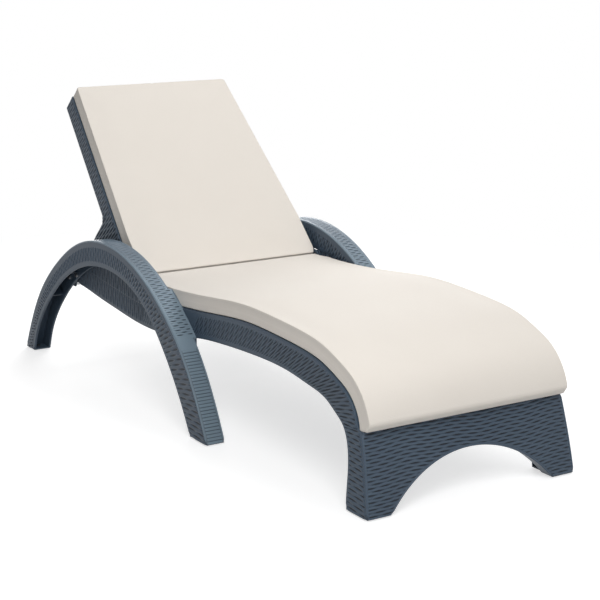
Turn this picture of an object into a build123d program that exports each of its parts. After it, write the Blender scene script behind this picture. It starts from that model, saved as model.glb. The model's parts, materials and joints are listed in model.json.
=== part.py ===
"""Sun lounger in moulded woven-look resin: arched arms, S-curved seat, reclining back and two cushions.

The origin is on the floor under the middle of the lounger. +Z is up, +Y runs towards the head end
and +X is the sitter's left. The back stands in a raised position, as it does in use.
"""

import os
from math import atan2, cos, pi, radians, sin, sqrt

from build123d import *

# Overall sizes
overall_length = 1860.0
overall_width = 750.0
glide_thickness = 3.0
overrun = 20.0
arch_steps = 36
rail_steps = 40
small_sides = 8
tube_sides = 12
bush_sides = 20
line_steps = 44
line_bunching = 1.5
back_steps = 8
clearance = 0.3
running_clearance = 0.05

# Arched arms, each a channel that opens towards the inside of the arch
arm_width = 53.0
arm_wall = 4.0
arch_span = 1185.0
arch_front = overall_length - arch_span
arch_height = 445.0
arch_rib_thickness = 3.0
arch_rib_depth = 46.0
arch_outer_shares = [(0, 0), (0.05, 0.252), (0.127, 0.53), (0.215, 0.73), (0.338, 0.912), (0.521, 1),
                     (0.65, 0.934), (0.775, 0.753), (0.901, 0.452), (0.97, 0.165), (1, 0)]
arch_inner_shares = [(0.076, 0), (0.137, 0.26), (0.217, 0.514), (0.301, 0.703), (0.387, 0.805),
                     (0.503, 0.842), (0.614, 0.803), (0.736, 0.662), (0.851, 0.42), (0.931, 0.142), (0.95, 0)]
arch_rib_shares = [0.22, 0.32, 0.42, 0.52, 0.62, 0.72, 0.82]
arm_pad_start_share = 0.142
arm_pad_end_share = 0.262

# Seat: cushion top line, rail depth, flared front legs
head_length = 689.0
seat_length = overall_length - head_length
arm_rise = 42.0
seat_crest = glide_thickness + arch_height - arm_rise
panel_gap = 12.0
panel_outer = overall_width / 2 - arm_width - panel_gap
cushion_overhang = 1.0
seat_half_width = panel_outer + cushion_overhang
cushion_thickness = 48.0
deck_thickness = 4.0
seat_top_shares = [(0.0125, 0.54), (0.018, 0.605), (0.043, 0.732), (0.075, 0.815), (0.125, 0.884),
                   (0.182, 0.941), (0.255, 0.975), (0.364, 0.994), (0.493, 1), (0.67, 0.953),
                   (0.81, 0.916), (1, 0.909)]
rail_low_shares = [(0.0743, 0.0074), (0.0777, 0.273), (0.0854, 0.397), (0.105, 0.5), (0.138, 0.567),
                   (0.17, 0.618), (0.235, 0.658), (0.304, 0.685), (0.446, 0.695), (0.597, 0.672),
                   (0.705, 0.64), (0.811, 0.586), (0.939, 0.549), (1.037, 0.554)]
rear_low_shares = [(0.55, 0.521), (0.652, 0.548), (0.747, 0.577), (0.792, 0.582)]
rear_top_shares = [(0.4338, 0.8337), (0.503, 0.865), (0.614, 0.826), (0.7, 0.753), (0.821, 0.646)]

panel_wall = 4.0
flange_depth = 36.0
rail_end_gap = 21.0
panel_front_end = seat_length - rail_end_gap
tongue_drop = 18.0
tongue_length = 46.0
knee_drop = 10.24
knee_height = seat_top_shares[0][1] * seat_crest - knee_drop
knee_lap = 8.0
front_lean = 50.0
front_lean_middle_share = 0.42
foot_flare = 14.0
leg_width = 62.0

# Front end panel with its arched cut-out
front_wall = 4.0
front_lip = 14.0
cutout_leg = 55.0
cutout_half_span = panel_outer - cutout_leg
cutout_bridge = 83.0
cutout_height = knee_height - cutout_bridge
cutout_rim = 4.0
cutout_rim_depth = 42.0

# Slots in the seat deck and the back panel
slot_width = 14.0
deck_slot_rows = 9
deck_slot_columns = 3
deck_slot_gap = 26.0
deck_slot_margin = 44.0
deck_slot_span = 2 * (panel_outer - deck_slot_margin)
deck_slot_length = (deck_slot_span - (deck_slot_columns - 1) * deck_slot_gap) / deck_slot_columns
deck_slot_start = 250.0
deck_slot_end_gap = 91.0
deck_slot_end = seat_length - deck_slot_end_gap

# Hinge line of the back and its recline
recline = 44.6
hinge_drop = 7.0
hinge_setback = 3.0
hinge_pin_radius = 6.0
hinge_head_radius = 9.0
hinge_head_thickness = 3.6
ear_radius = 14.0
bush_flange_radius = 10.0
bush_wall = 2.0

# Back: tapered frame with a gusset lobe on each cheek
back_length = 708.0
back_side_gap = 7.5
back_half_width = panel_outer - back_side_gap
back_narrowing = 38.0
back_top_half_width = back_half_width - back_narrowing
taper_start = 144.0
cheek_wall = 5.0
cheek_flange = 28.0
back_frame_depth = 58.0
back_panel_thickness = 4.0
lobe_reach = 274.0
lobe_depth = 218.0
lobe_corner = 26.0
lobe_neck = 16.0
back_slot_rows = 9
back_slot_margin = 58.5
back_slot_span = 2 * (back_top_half_width - back_slot_margin)
back_slot_length = (back_slot_span - (deck_slot_columns - 1) * deck_slot_gap) / deck_slot_columns
back_slot_start = 210.0
back_slot_end_gap = 38.0
back_slot_end = back_length - back_slot_end_gap
back_rib_height = 8.0
back_rib_thickness = 4.0
back_rib_gap = 18.0
back_rib_offset = back_slot_length / 2 + back_rib_gap
rail_tube = 20.0
rail_tube_wall = 2.5
lower_rail_place = 44.0

# Cushions
cushion_crown = 5.0
cushion_edge_crown = 0.4
cushion_draw = 4.0
cushion_side_bulge = 3.0
fold_gap = 6.0
fold_half_width = back_half_width - fold_gap
fold_relief_start = 60.0
fold_relief_end = 18.0
back_cushion_start = 5.8
back_cushion_inset = 2.5

# Prop that holds the back up, and the notched rails that take its foot
prop_place = 177.0
prop_depth = 85.0
prop_length = 235.0
prop_foot_drop = 100.054
prop_side_gap = 62.5
prop_half_width = back_half_width - prop_side_gap
prop_tube = 18.0
sleeve_wall = 1.0
sleeve_length = 30.0
prop_bend = 32.0
prop_pin_radius = 4.0
prop_eye_radius = 9.6
prop_eye_width = 16.0
bracket_wall = 3.0
bracket_width = 30.0
rack_inset = 60.0
rack_offset = prop_half_width - rack_inset
rack_width = 20.0
rack_height = 24.0
notch_spacing = 34.0
notch_depth = 8.0
notch_count = 4
notches_ahead = 2
foot_gap = 0.6

# Cross members and braces
cross_width = 36.0
cross_height = 15.0
hinge_cross_height = 30.0
cross_wall = 2.5
hinge_cross_gap = 59.0
hinge_cross_place = seat_length - hinge_cross_gap
brace_shares = (0.2818104, 0.6148591)
brace_places = [share * seat_length for share in brace_shares]
brace_width = 40.0
brace_height = 25.0

# Fasteners
bolt_radius = 4.0
bolt_head_radius = 7.5
bolt_head_height = 4.5
nut_across = 13.0
nut_sides = 6
nut_height = 5.0
washer_radius = 8.5
washer_thickness = 1.6
boss_radius = 11.0
bolt_shares = [(0.2, 0.6), (0.24, 0.655), (0.758, 0.65), (0.803, 0.612)]
screw_radius = 2.0
screw_head_radius = 4.0
screw_head_height = 2.0
deck_screw_shares = (0.38, 0.5, 0.68, 0.86)
back_screw_start = 60.0
back_screw_end_gap = 88.0
back_screw_spacing = 190.0
back_screw_end = back_length - back_screw_end_gap
back_screw_places = (back_screw_start, back_screw_end - 2 * back_screw_spacing,
                     back_screw_end - back_screw_spacing, back_screw_end)
back_screw_inset = 18.0

# Glides under the feet
glide_width = 36.0
front_glide_length = 60.0
mid_glide_length = 62.0
rear_glide_length = 36.0
peg_radius = 5.0
peg_length = 8.0

os.makedirs("parts", exist_ok=True)


def side(distance, height):
    """A point of the side view, from its distance behind the front feet and its height."""
    return (distance - overall_length / 2, height)


def arch_point(share):
    """A point of the side view, from shares of the arch's span and height."""
    return side(arch_front + share[0] * arch_span, glide_thickness + share[1] * arch_height)


def seat_point(share):
    """A point of the side view, from shares of the seat's length and crest."""
    return side(share[0] * seat_length, share[1] * seat_crest)


def arch_outline(shares):
    """Points of the side view from shares of the arch."""
    return [arch_point(share) for share in shares]


def seat_outline(shares):
    """Points of the side view from shares of the seat."""
    return [seat_point(share) for share in shares]


def smooth_points(line, steps):
    """Evenly spread points along a smooth line."""
    return [((line @ (step / steps)).X, (line @ (step / steps)).Y) for step in range(steps + 1)]


def edge_band(points, amount):
    """A band of even width along one side of a line of short runs, to its left where the width is positive."""
    inner = []
    for before, point, after in zip([points[0]] + points, points, points[1:] + [points[-1]]):
        run = Vector(after[0] - before[0], after[1] - before[1]).normalized()
        inner.append((point[0] - run.Y * amount, point[1] + run.X * amount))
    with BuildSketch() as band:
        with BuildLine():
            Polyline(*points, *reversed(inner), close=True)
        make_face()
    return band.sketch


def save(piece, name):
    """Labels one finished piece and writes it."""
    piece.label = name
    export_step(piece, f"parts/{name}.step")


def save_pair(piece, name):
    """Writes a piece of the sitter's left side and its mirror image for the right."""
    save(piece, f"left_{name}")
    save(mirror(piece, about=Plane.YZ), f"right_{name}")


# The seat's top line, and the lines that lie under it at a given depth
seat_top = Spline(*[Vector(0, *seat_point(share)) for share in seat_top_shares])


def line_share(step):
    """Stations along the seat's top line, closer together round its front end."""
    return (step / line_steps) ** line_bunching


def under_seat(depth, share):
    """A side-view point under the seat's top line, square to it, at a share of its length."""
    place = seat_top @ share
    run = seat_top % share
    return (place.Y + depth * run.Z, place.Z - depth * run.Y)


def under_seat_line(depth):
    """Points of the line that lies at a depth under the seat's top line."""
    return [under_seat(depth, line_share(step)) for step in range(line_steps + 1)]


def seat_plane(depth, share, across=0):
    """A plane that faces away from the deck, at a depth under the seat's top line."""
    run = seat_top % share
    return Plane(origin=(across, *under_seat(depth, share)), x_dir=(1, 0, 0), z_dir=(0, -run.Z, run.Y))


def deck_underside(distance):
    """The height of the deck's underside over a place behind the front feet."""
    points = under_seat_line(cushion_thickness + clearance + deck_thickness)
    target = side(distance, 0)[0]
    for low, high in zip(points, points[1:]):
        if low[0] <= target <= high[0]:
            return low[1] + (high[1] - low[1]) * (target - low[0]) / (high[0] - low[0])
    return points[-1][1]


# Planes of the raised back: its side view and its plan both start at the hinge line
lean_cos = cos(radians(recline))
lean_sin = sin(radians(recline))
hinge_y = side(seat_length + hinge_setback, 0)[0]
hinge_z = seat_top_shares[-1][1] * seat_crest - hinge_drop
prop_foot_height = hinge_z - prop_foot_drop
back_plan = Plane(origin=(0, hinge_y, hinge_z), x_dir=(1, 0, 0), z_dir=(0, -lean_sin, lean_cos))


def back_side(across=0):
    """The side-view plane of the back: along the back, then towards its front face."""
    return Plane(origin=(across, hinge_y, hinge_z), x_dir=(0, lean_cos, lean_sin), z_dir=(1, 0, 0))


arm_inner = overall_width / 2 - arm_width
bolt_places = arch_outline(bolt_shares)

# The arch's outer and inner lines as short straight runs
arch_curve = Spline(*arch_outline(arch_outer_shares))
arch_outer = smooth_points(arch_curve, arch_steps)
arch_inner = smooth_points(Spline(*arch_outline(arch_inner_shares)), arch_steps)

# Arm: the arch band as a channel that opens inwards, with ribs, bosses and a pad for the rail
with BuildPart() as arm:
    for across in (arm_inner, arm_inner + arm_width - arm_wall):
        with BuildSketch(Plane.YZ.offset(across)):
            with BuildLine():
                Polyline(*arch_outer, *reversed(arch_inner), close=True)
            make_face()
        extrude(amount=arm_wall)
    with BuildSketch(Plane.YZ.offset(arm_inner)):
        add(edge_band(arch_outer, -arm_wall))
        for heel, toe in ((arch_outer[0], arch_inner[0]), (arch_inner[-1], arch_outer[-1])):
            with BuildLine():
                Polyline(heel, toe, (toe[0], toe[1] + arm_wall), (heel[0], heel[1] + arm_wall), close=True)
            make_face()
        with BuildLine():
            Polyline(*arch_outer, close=True)
        make_face(mode=Mode.INTERSECT)
    extrude(amount=arm_width)
    for share in arch_rib_shares:
        place = arch_curve @ share
        run = arch_curve % share
        rib_plane = Plane(origin=(arm_inner + arm_width / 2, place.X, place.Y), x_dir=(1, 0, 0),
                          z_dir=(0, run.X, run.Y))
        with Locations(rib_plane):
            Box(arm_width - arm_wall, arch_rib_depth, arch_rib_thickness,
                align=(Align.CENTER, Align.MIN, Align.CENTER))
    with BuildSketch(Plane.YZ.offset(panel_outer)):
        with BuildLine():
            Polyline(*arch_outer, *reversed(arch_inner), close=True)
        make_face()
        with BuildLine():
            Polyline(arch_point((arm_pad_start_share, 0)), arch_point((arm_pad_end_share, 0)),
                     arch_point((arm_pad_end_share, 1)), arch_point((arm_pad_start_share, 1)), close=True)
        make_face(mode=Mode.INTERSECT)
    extrude(amount=arm_inner - panel_outer)
    with BuildSketch(Plane.YZ.offset(panel_outer)):
        with Locations(*bolt_places[2:]):
            RegularPolygon(boss_radius, small_sides)
    extrude(amount=arm_inner - panel_outer + arm_wall)
    with BuildSketch(Plane.YZ.offset(panel_outer + hinge_head_thickness + clearance)):
        with Locations((hinge_y, hinge_z)):
            RegularPolygon(hinge_head_radius, small_sides)
        with Locations((hinge_y, hinge_z + hinge_head_radius)):
            Rectangle(2 * hinge_head_radius, 2 * hinge_head_radius)
    extrude(amount=arm_inner - panel_outer - hinge_head_thickness - clearance)
    with BuildSketch(Plane.YZ.offset(panel_outer - overrun)):
        with Locations(*bolt_places):
            RegularPolygon(bolt_radius + running_clearance, small_sides)
    extrude(amount=overrun + arm_inner - panel_outer + arm_wall, mode=Mode.SUBTRACT)
    foot_places = [((arch_outer_shares[0][0] + arch_inner_shares[0][0]) / 2),
                   ((arch_outer_shares[-1][0] + arch_inner_shares[-1][0]) / 2)]
    foot_centres = [(arm_inner + arm_width / 2, side(arch_front + share * arch_span, 0)[0])
                    for share in foot_places]
    with BuildSketch(Plane.XY):
        with Locations(*foot_centres):
            RegularPolygon(peg_radius + running_clearance, small_sides)
    extrude(amount=glide_thickness + 2 * arm_wall, mode=Mode.SUBTRACT)
save_pair(arm.part, "arm")

# Side panel: woven outer wall from the front foot to the tongue under the arm, with inward flanges
knee_angle = atan2(foot_flare, knee_height)
knee_sag = (knee_height - glide_thickness) * (1 - cos(knee_angle))
flare_plane = Plane(origin=(panel_outer, 0, knee_height - knee_sag), x_dir=(0, 1, 0),
                    z_dir=(cos(knee_angle), 0, sin(knee_angle)))
deck_depth = cushion_thickness + clearance + deck_thickness
rail_top_depth = deck_depth + clearance
deck_screw_across = panel_outer - flange_depth / 2
rail_low = smooth_points(Spline(*seat_outline(rail_low_shares), *arch_outline(rear_low_shares)), rail_steps)
rear_top = arch_outline(rear_top_shares)
tongue_end = rear_top[-1][0] + cross_width / 2
step_height = deck_underside(panel_front_end) - panel_wall
rail_end = side(panel_front_end, 0)[0]
rail_top = [point for point in under_seat_line(rail_top_depth) if point[0] < rail_end]
leg_back = rail_low[0]
front_inset = front_wall + clearance
front_top = side(front_lean + front_inset, knee_height)
front_middle = side(front_lean * front_lean_middle_share + front_inset, (glide_thickness + knee_height) / 2)
front_bottom = side(front_inset, glide_thickness)


def rail_face():
    """The whole panel in the side view: front leg, rail, hinge ear and tongue under the arm."""
    with BuildSketch(Plane.XY) as face:
        with BuildLine():
            low = Polyline(*rail_low)
            tongue_top = (tongue_end - tongue_length, (low @ 1).Y - tongue_drop)
            Polyline(low @ 1, tongue_top, (tongue_end, tongue_top[1]), rear_top[-1])
            rear_line = Spline(*rear_top)
            Line(rear_line @ 0, (hinge_y, hinge_z + ear_radius))
            JernArc((hinge_y, hinge_z + ear_radius), (-1, 0), ear_radius, 90)
            Polyline((hinge_y - ear_radius, hinge_z), (hinge_y - ear_radius, step_height),
                     (rail_top[-1][0], step_height), rail_top[-1])
            top = Polyline(*rail_top)
            Line(top @ 0, front_top)
            ThreePointArc(front_top, front_middle, front_bottom)
            Line(front_bottom, low @ 0)
        make_face()
    return face.sketch


def keep_part(low_corner, high_corner):
    """A rectangle of the side view between two corners."""
    with BuildSketch(Plane.XY) as window:
        with BuildLine():
            Polyline(low_corner, (high_corner[0], low_corner[1]), high_corner,
                     (low_corner[0], high_corner[1]), close=True)
        make_face()
    return window.sketch


def rail_edges():
    """The flanges of the rail and front leg in the side view: along the top, the underside and the front."""
    top_edge = edge_band(rail_top, -panel_wall)
    low_edge = edge_band(rail_low, panel_wall)
    front_arc = ThreePointArc(front_bottom, front_middle, front_top)
    front_points = [((front_arc @ (step / back_steps)).X, (front_arc @ (step / back_steps)).Y)
                    for step in range(back_steps + 1)]
    front_edge = edge_band(front_points, -panel_wall)
    with BuildSketch() as edges:
        add(top_edge)
        add(low_edge)
        add(front_edge)
        with BuildLine():
            Polyline(front_bottom, leg_back, (leg_back[0], leg_back[1] + panel_wall),
                     (front_bottom[0], front_bottom[1] + panel_wall), close=True)
        make_face()
        add(rail_face(), mode=Mode.INTERSECT)
    return edges.sketch


rail_window = keep_part(side(-overrun, knee_height), side(overall_length, overall_width))
flange_window = keep_part(side(-overrun, knee_height), (rail_top[-1][0], overall_width))
leg_window = keep_part(side(-overrun, glide_thickness), side(overall_length, knee_height + knee_lap))
whole_face = rail_face()
whole_edges = rail_edges()
upper_rail = whole_face & rail_window
upper_edges = whole_edges & flange_window
lower_leg = whole_face & leg_window
lower_edges = whole_edges & leg_window

with BuildPart() as side_panel:
    with BuildSketch(Plane.YZ.offset(panel_outer - panel_wall)):
        add(upper_rail)
    extrude(amount=panel_wall)
    with BuildSketch(Plane.YZ.offset(panel_outer - flange_depth)):
        add(upper_edges)
    extrude(amount=flange_depth)
    with BuildSketch(Plane.YZ.offset(panel_outer - panel_wall)):
        with Locations(*bolt_places):
            RegularPolygon(bolt_radius + running_clearance, small_sides)
        with Locations((hinge_y, hinge_z)):
            Circle(hinge_pin_radius + running_clearance)
    extrude(amount=panel_wall, mode=Mode.SUBTRACT)

with BuildPart() as leg_block:
    with BuildSketch(flare_plane):
        with Locations((0, -knee_height)):
            add(lower_leg)
    extrude(amount=panel_wall, dir=(-1, 0, 0))
    with BuildSketch(flare_plane):
        with Locations((0, -knee_height)):
            add(lower_edges)
    extrude(amount=leg_width, dir=(-1, 0, 0))
    with BuildSketch(Plane.XY):
        with Locations((panel_outer + foot_flare - leg_width / 2, (front_bottom[0] + leg_back[0]) / 2)):
            RegularPolygon(peg_radius + running_clearance, small_sides)
    extrude(amount=glide_thickness + 2 * panel_wall, mode=Mode.SUBTRACT)

with BuildPart() as whole_panel:
    add(side_panel.part)
    add(leg_block.part)
    for share in deck_screw_shares:
        with BuildSketch(seat_plane(deck_depth, share, deck_screw_across)):
            RegularPolygon(screw_radius + running_clearance, small_sides)
        extrude(amount=-2 * panel_wall, mode=Mode.SUBTRACT)
save_pair(whole_panel.part, "side_panel")

# Front end panel: leaning face between the legs, with a rim round its arched cut-out
with BuildPart() as front_zone:
    with BuildSketch(Plane.YZ.offset(-overall_width / 2)):
        with BuildLine():
            face_line = ThreePointArc(side(0, glide_thickness),
                                      (front_middle[0] - front_inset, front_middle[1]),
                                      side(front_lean, knee_height))
            Line(face_line @ 1, side(front_lean + cutout_rim_depth, knee_height))
            Line(side(front_lean + cutout_rim_depth, knee_height), side(cutout_rim_depth, glide_thickness))
            Line(side(cutout_rim_depth, glide_thickness), face_line @ 0)
        make_face()
    extrude(amount=overall_width)

with BuildPart() as front_panel:
    with BuildSketch(Plane.YZ.offset(-overall_width / 2)):
        with BuildLine():
            front_line = ThreePointArc(side(0, glide_thickness),
                                       (front_middle[0] - front_inset, front_middle[1]),
                                       side(front_lean, knee_height))
            back_line = ThreePointArc(side(front_wall, glide_thickness),
                                      (front_middle[0] - clearance, front_middle[1]),
                                      side(front_lean + front_wall, knee_height))
            Line(front_line @ 0, back_line @ 0)
            Line(front_line @ 1, back_line @ 1)
        make_face()
    extrude(amount=overall_width)
    with BuildSketch(Plane.XZ.offset(overall_length / 2 + overrun)):
        with BuildLine():
            Polyline((-panel_outer - foot_flare, 0), (panel_outer + foot_flare, 0), (panel_outer, knee_height),
                     (-panel_outer, knee_height), close=True)
        make_face()
    extrude(amount=-front_lean - cutout_rim_depth - 2 * overrun, mode=Mode.INTERSECT)
    with BuildSketch(Plane.XZ.offset(overall_length / 2 + overrun)):
        with BuildLine():
            ThreePointArc((-cutout_half_span, glide_thickness), (0, cutout_height),
                          (cutout_half_span, glide_thickness))
            Line((-cutout_half_span, glide_thickness), (cutout_half_span, glide_thickness))
        make_face()
    extrude(amount=-front_lean - cutout_rim_depth - 2 * overrun, mode=Mode.SUBTRACT)

with BuildPart() as cutout_ring:
    with BuildSketch(Plane.XZ.offset(overall_length / 2 + overrun)):
        with BuildLine():
            low_arc = ThreePointArc((-cutout_half_span, glide_thickness), (0, cutout_height),
                                    (cutout_half_span, glide_thickness))
            high_arc = ThreePointArc((-cutout_half_span - cutout_rim, glide_thickness),
                                     (0, cutout_height + cutout_rim),
                                     (cutout_half_span + cutout_rim, glide_thickness))
            Line(low_arc @ 0, high_arc @ 0)
            Line(low_arc @ 1, high_arc @ 1)
        make_face()
    extrude(amount=-front_lean - cutout_rim_depth - 2 * overrun)
    add(front_zone.part, mode=Mode.INTERSECT)

with BuildPart() as front_end:
    add(front_panel.part)
    add(cutout_ring.part)
    with BuildSketch(Plane.YZ.offset(-panel_outer + leg_width + clearance)):
        with BuildLine():
            Polyline(side(front_lean, knee_height - front_wall),
                     side(front_lean + front_lip, knee_height - front_wall),
                     side(front_lean + front_lip, knee_height), side(front_lean, knee_height), close=True)
        make_face()
    extrude(amount=2 * (panel_outer - leg_width - clearance))
save(front_end.part, "front_end_panel")

# Seat deck: an S-curved slotted panel that lies on the side panels' top flanges
with BuildPart() as seat_deck:
    with BuildSketch(Plane.YZ.offset(-panel_outer + clearance)):
        with BuildLine():
            Polyline(*under_seat_line(cushion_thickness + clearance), *reversed(under_seat_line(deck_depth)),
                     close=True)
        make_face()
        with BuildLine():
            Polyline(side(0, 0), side(panel_front_end, 0), side(panel_front_end, overall_width),
                     side(0, overall_width), close=True)
        make_face(mode=Mode.INTERSECT)
    extrude(amount=2 * (panel_outer - clearance))
    slot_step_x = deck_slot_length + deck_slot_gap
    slot_step_y = (deck_slot_end - deck_slot_start) / (deck_slot_rows - 1)
    with BuildSketch(Plane.XY):
        with Locations((0, side((deck_slot_start + deck_slot_end) / 2, 0)[0])):
            with GridLocations(slot_step_x, slot_step_y, deck_slot_columns, deck_slot_rows):
                Rectangle(deck_slot_length, slot_width)
    extrude(amount=overall_width, mode=Mode.SUBTRACT)
    for share in deck_screw_shares:
        for hand in (-1, 1):
            with BuildSketch(seat_plane(deck_depth + clearance, share, hand * deck_screw_across)):
                RegularPolygon(screw_radius + running_clearance, small_sides)
            extrude(amount=2 * deck_thickness, mode=Mode.SUBTRACT)
save(seat_deck.part, "seat_deck")

# Back cheek: tapered side of the back frame with a hinge ear and a gusset lobe, flanged inwards
cushion_back = hinge_drop - cushion_thickness
frame_front = cushion_back - clearance
frame_rear = frame_front - back_frame_depth
panel_rear = frame_front - back_panel_thickness


def back_width(along, inset):
    """Half width of the back at a place along it, inside the cheeks' outer faces."""
    taper = max(0, along - taper_start) / (back_length - taper_start)
    return back_half_width - taper * (back_half_width - back_top_half_width) - inset


def cheek_outline(front):
    """Closed outline of a cheek in the side view of the back, with its front edge at a given depth."""
    Polyline((lobe_reach, frame_rear - lobe_neck), (lobe_reach + lobe_neck, frame_rear),
             (back_length, frame_rear), (back_length, front), (0, front))
    tip = (lobe_reach - lobe_corner, -lobe_depth)
    Line((lobe_reach, frame_rear - lobe_neck), (lobe_reach, -lobe_depth + lobe_corner))
    JernArc((lobe_reach, -lobe_depth + lobe_corner), (0, -1), lobe_corner, -90)
    heel = (-ear_radius, frame_front - ear_radius)
    TangentArc(tip, heel, tangent=(-1, 0))
    Line(heel, (-ear_radius, front))
    Line((-ear_radius, front), (0, front))


def taper_outline(thickness):
    """Plan strip of a cheek, of a given thickness inside its tapered outer face."""
    Polyline((back_half_width, -ear_radius - overrun), (back_half_width, taper_start),
             (back_top_half_width, back_length), (back_top_half_width - thickness, back_length),
             (back_half_width - thickness, taper_start), (back_half_width - thickness, -ear_radius - overrun),
             close=True)


def taper_strip(outer_inset, thickness):
    """The space between two lines parallel to a cheek's outer face, through the whole depth."""
    with BuildPart() as strip:
        with BuildSketch(back_plan.offset(-lobe_depth - overrun)):
            with BuildLine():
                taper_outline(thickness)
            make_face()
            if outer_inset > 0:
                with BuildLine():
                    taper_outline(outer_inset)
                make_face(mode=Mode.SUBTRACT)
        extrude(amount=lobe_depth + 2 * overrun + ear_radius)
    return strip.part


cheek_span = back_half_width - back_top_half_width + cheek_flange + overrun
with BuildPart() as cheek_flanges:
    with BuildSketch(back_side(back_half_width - cheek_span)):
        with BuildLine():
            cheek_outline(panel_rear)
        make_face()
    extrude(amount=cheek_span + overrun)
    with BuildSketch(back_side(back_half_width - cheek_span)):
        with BuildLine():
            cheek_outline(panel_rear)
        make_face()
        offset(amount=-panel_wall)
    extrude(amount=cheek_span + overrun, mode=Mode.SUBTRACT)
    add(taper_strip(0, cheek_flange), mode=Mode.INTERSECT)
    with BuildSketch(back_plan.offset(frame_rear - overrun)):
        with Locations((back_top_half_width, back_length)):
            Rectangle(2 * cheek_span, 2 * (cheek_wall + clearance))
    extrude(amount=back_frame_depth + 2 * overrun, mode=Mode.SUBTRACT)

with BuildPart() as cheek:
    with BuildSketch(back_side(back_half_width - cheek_span)):
        with BuildLine():
            cheek_outline(frame_front)
        make_face()
        Circle(ear_radius)
        with Locations((0, frame_front / 2)):
            Rectangle(2 * ear_radius, -frame_front)
    extrude(amount=cheek_span + overrun)
    add(taper_strip(0, cheek_wall), mode=Mode.INTERSECT)
    add(cheek_flanges.part)
    with BuildSketch(back_side(back_half_width - cheek_span)):
        RegularPolygon(hinge_pin_radius + bush_wall, bush_sides)
    extrude(amount=cheek_span + overrun, mode=Mode.SUBTRACT)
    with BuildSketch(back_plan.offset(panel_rear)):
        for place in back_screw_places:
            with Locations((back_width(place, back_screw_inset), place)):
                RegularPolygon(screw_radius + running_clearance, small_sides)
    extrude(amount=-2 * panel_wall, mode=Mode.SUBTRACT)
save_pair(cheek.part, "back_cheek")

# Hinge pins with their bushes: the pin sits in the side panel, the bush turns with the cheek
with BuildPart() as hinge_pin:
    with BuildSketch(Plane.YZ.offset(back_half_width - cheek_wall)):
        with Locations((hinge_y, hinge_z)):
            Circle(hinge_pin_radius)
    extrude(amount=panel_outer - back_half_width + cheek_wall)
    with BuildSketch(Plane.YZ.offset(panel_outer)):
        with Locations((hinge_y, hinge_z)):
            Circle(hinge_head_radius)
    extrude(amount=hinge_head_thickness)
save_pair(hinge_pin.part, "hinge_pin")

with BuildPart() as hinge_bush:
    with BuildSketch(Plane(origin=(back_half_width - cheek_wall, hinge_y, hinge_z),
                           x_dir=(0, lean_cos, lean_sin), z_dir=(1, 0, 0))):
        RegularPolygon(hinge_pin_radius + bush_wall, bush_sides)
    extrude(amount=cheek_wall)
    with BuildSketch(Plane.YZ.offset(back_half_width)):
        with Locations((hinge_y, hinge_z)):
            RegularPolygon(bush_flange_radius, bush_sides)
    extrude(amount=panel_outer - panel_wall - back_half_width - clearance)
    with BuildSketch(Plane.YZ.offset(back_half_width - cheek_wall)):
        with Locations((hinge_y, hinge_z)):
            Circle(hinge_pin_radius + running_clearance)
    extrude(amount=panel_outer - back_half_width + cheek_wall, mode=Mode.SUBTRACT)
save_pair(hinge_bush.part, "hinge_bush")


def back_trapezoid(low, high, inset):
    """Plan outline of a panel between the cheeks."""
    Polyline((-back_width(low, inset), low), (back_width(low, inset), low),
             (back_width(taper_start, inset), taper_start), (back_width(high, inset), high),
             (-back_width(high, inset), high), (-back_width(taper_start, inset), taper_start), close=True)


# Back panel: slotted face between the cheeks, stiffened by lengthwise ribs
slot_places = [back_slot_start + row * (back_slot_end - back_slot_start) / (back_slot_rows - 1)
               for row in range(back_slot_rows)]
with BuildPart() as back_panel:
    with BuildSketch(back_plan.offset(panel_rear + clearance / 2)):
        with BuildLine():
            back_trapezoid(clearance, back_length - cheek_wall - clearance, cheek_wall + clearance)
        make_face()
        for place in slot_places:
            for hand in (-1, 0, 1):
                with Locations((hand * (back_slot_length + deck_slot_gap), place)):
                    Rectangle(back_slot_length, slot_width, mode=Mode.SUBTRACT)
        for place in back_screw_places:
            for hand in (-1, 1):
                with Locations((hand * back_width(place, back_screw_inset), place)):
                    RegularPolygon(screw_radius + running_clearance, small_sides, mode=Mode.SUBTRACT)
    extrude(amount=back_panel_thickness - clearance / 2)
    with BuildSketch(back_plan.offset(panel_rear + clearance / 2)):
        for hand in (-1, 1):
            with Locations((hand * back_rib_offset, (back_slot_start + back_slot_end) / 2)):
                Rectangle(back_rib_thickness, back_slot_end - back_slot_start)
    extrude(amount=-back_rib_height)
save(back_panel.part, "back_panel")

# Top end of the back: a channel between the cheeks, flanged like them
with BuildPart() as back_top:
    with BuildSketch(back_plan.offset(frame_rear)):
        with BuildLine():
            top_corner = back_width(back_length, cheek_wall + clearance)
            Polyline((-top_corner, back_length - cheek_wall), (top_corner, back_length - cheek_wall),
                     (top_corner, back_length), (-top_corner, back_length), close=True)
        make_face()
    extrude(amount=back_frame_depth)
    for depth in (frame_rear, panel_rear - panel_wall - clearance / 2):
        with BuildSketch(back_plan.offset(depth)):
            with BuildLine():
                flange_corner = back_width(back_length, cheek_flange + clearance)
                Polyline((-flange_corner, back_length - cheek_flange), (flange_corner, back_length - cheek_flange),
                         (flange_corner, back_length - cheek_wall), (-flange_corner, back_length - cheek_wall),
                         close=True)
            make_face()
        extrude(amount=panel_wall)
save(back_top.part, "back_top_rail")

# Lower and prop rails: square tubes between the cheeks
rail_depth = (panel_rear - panel_wall - clearance, panel_rear - panel_wall - clearance - rail_tube)


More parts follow.
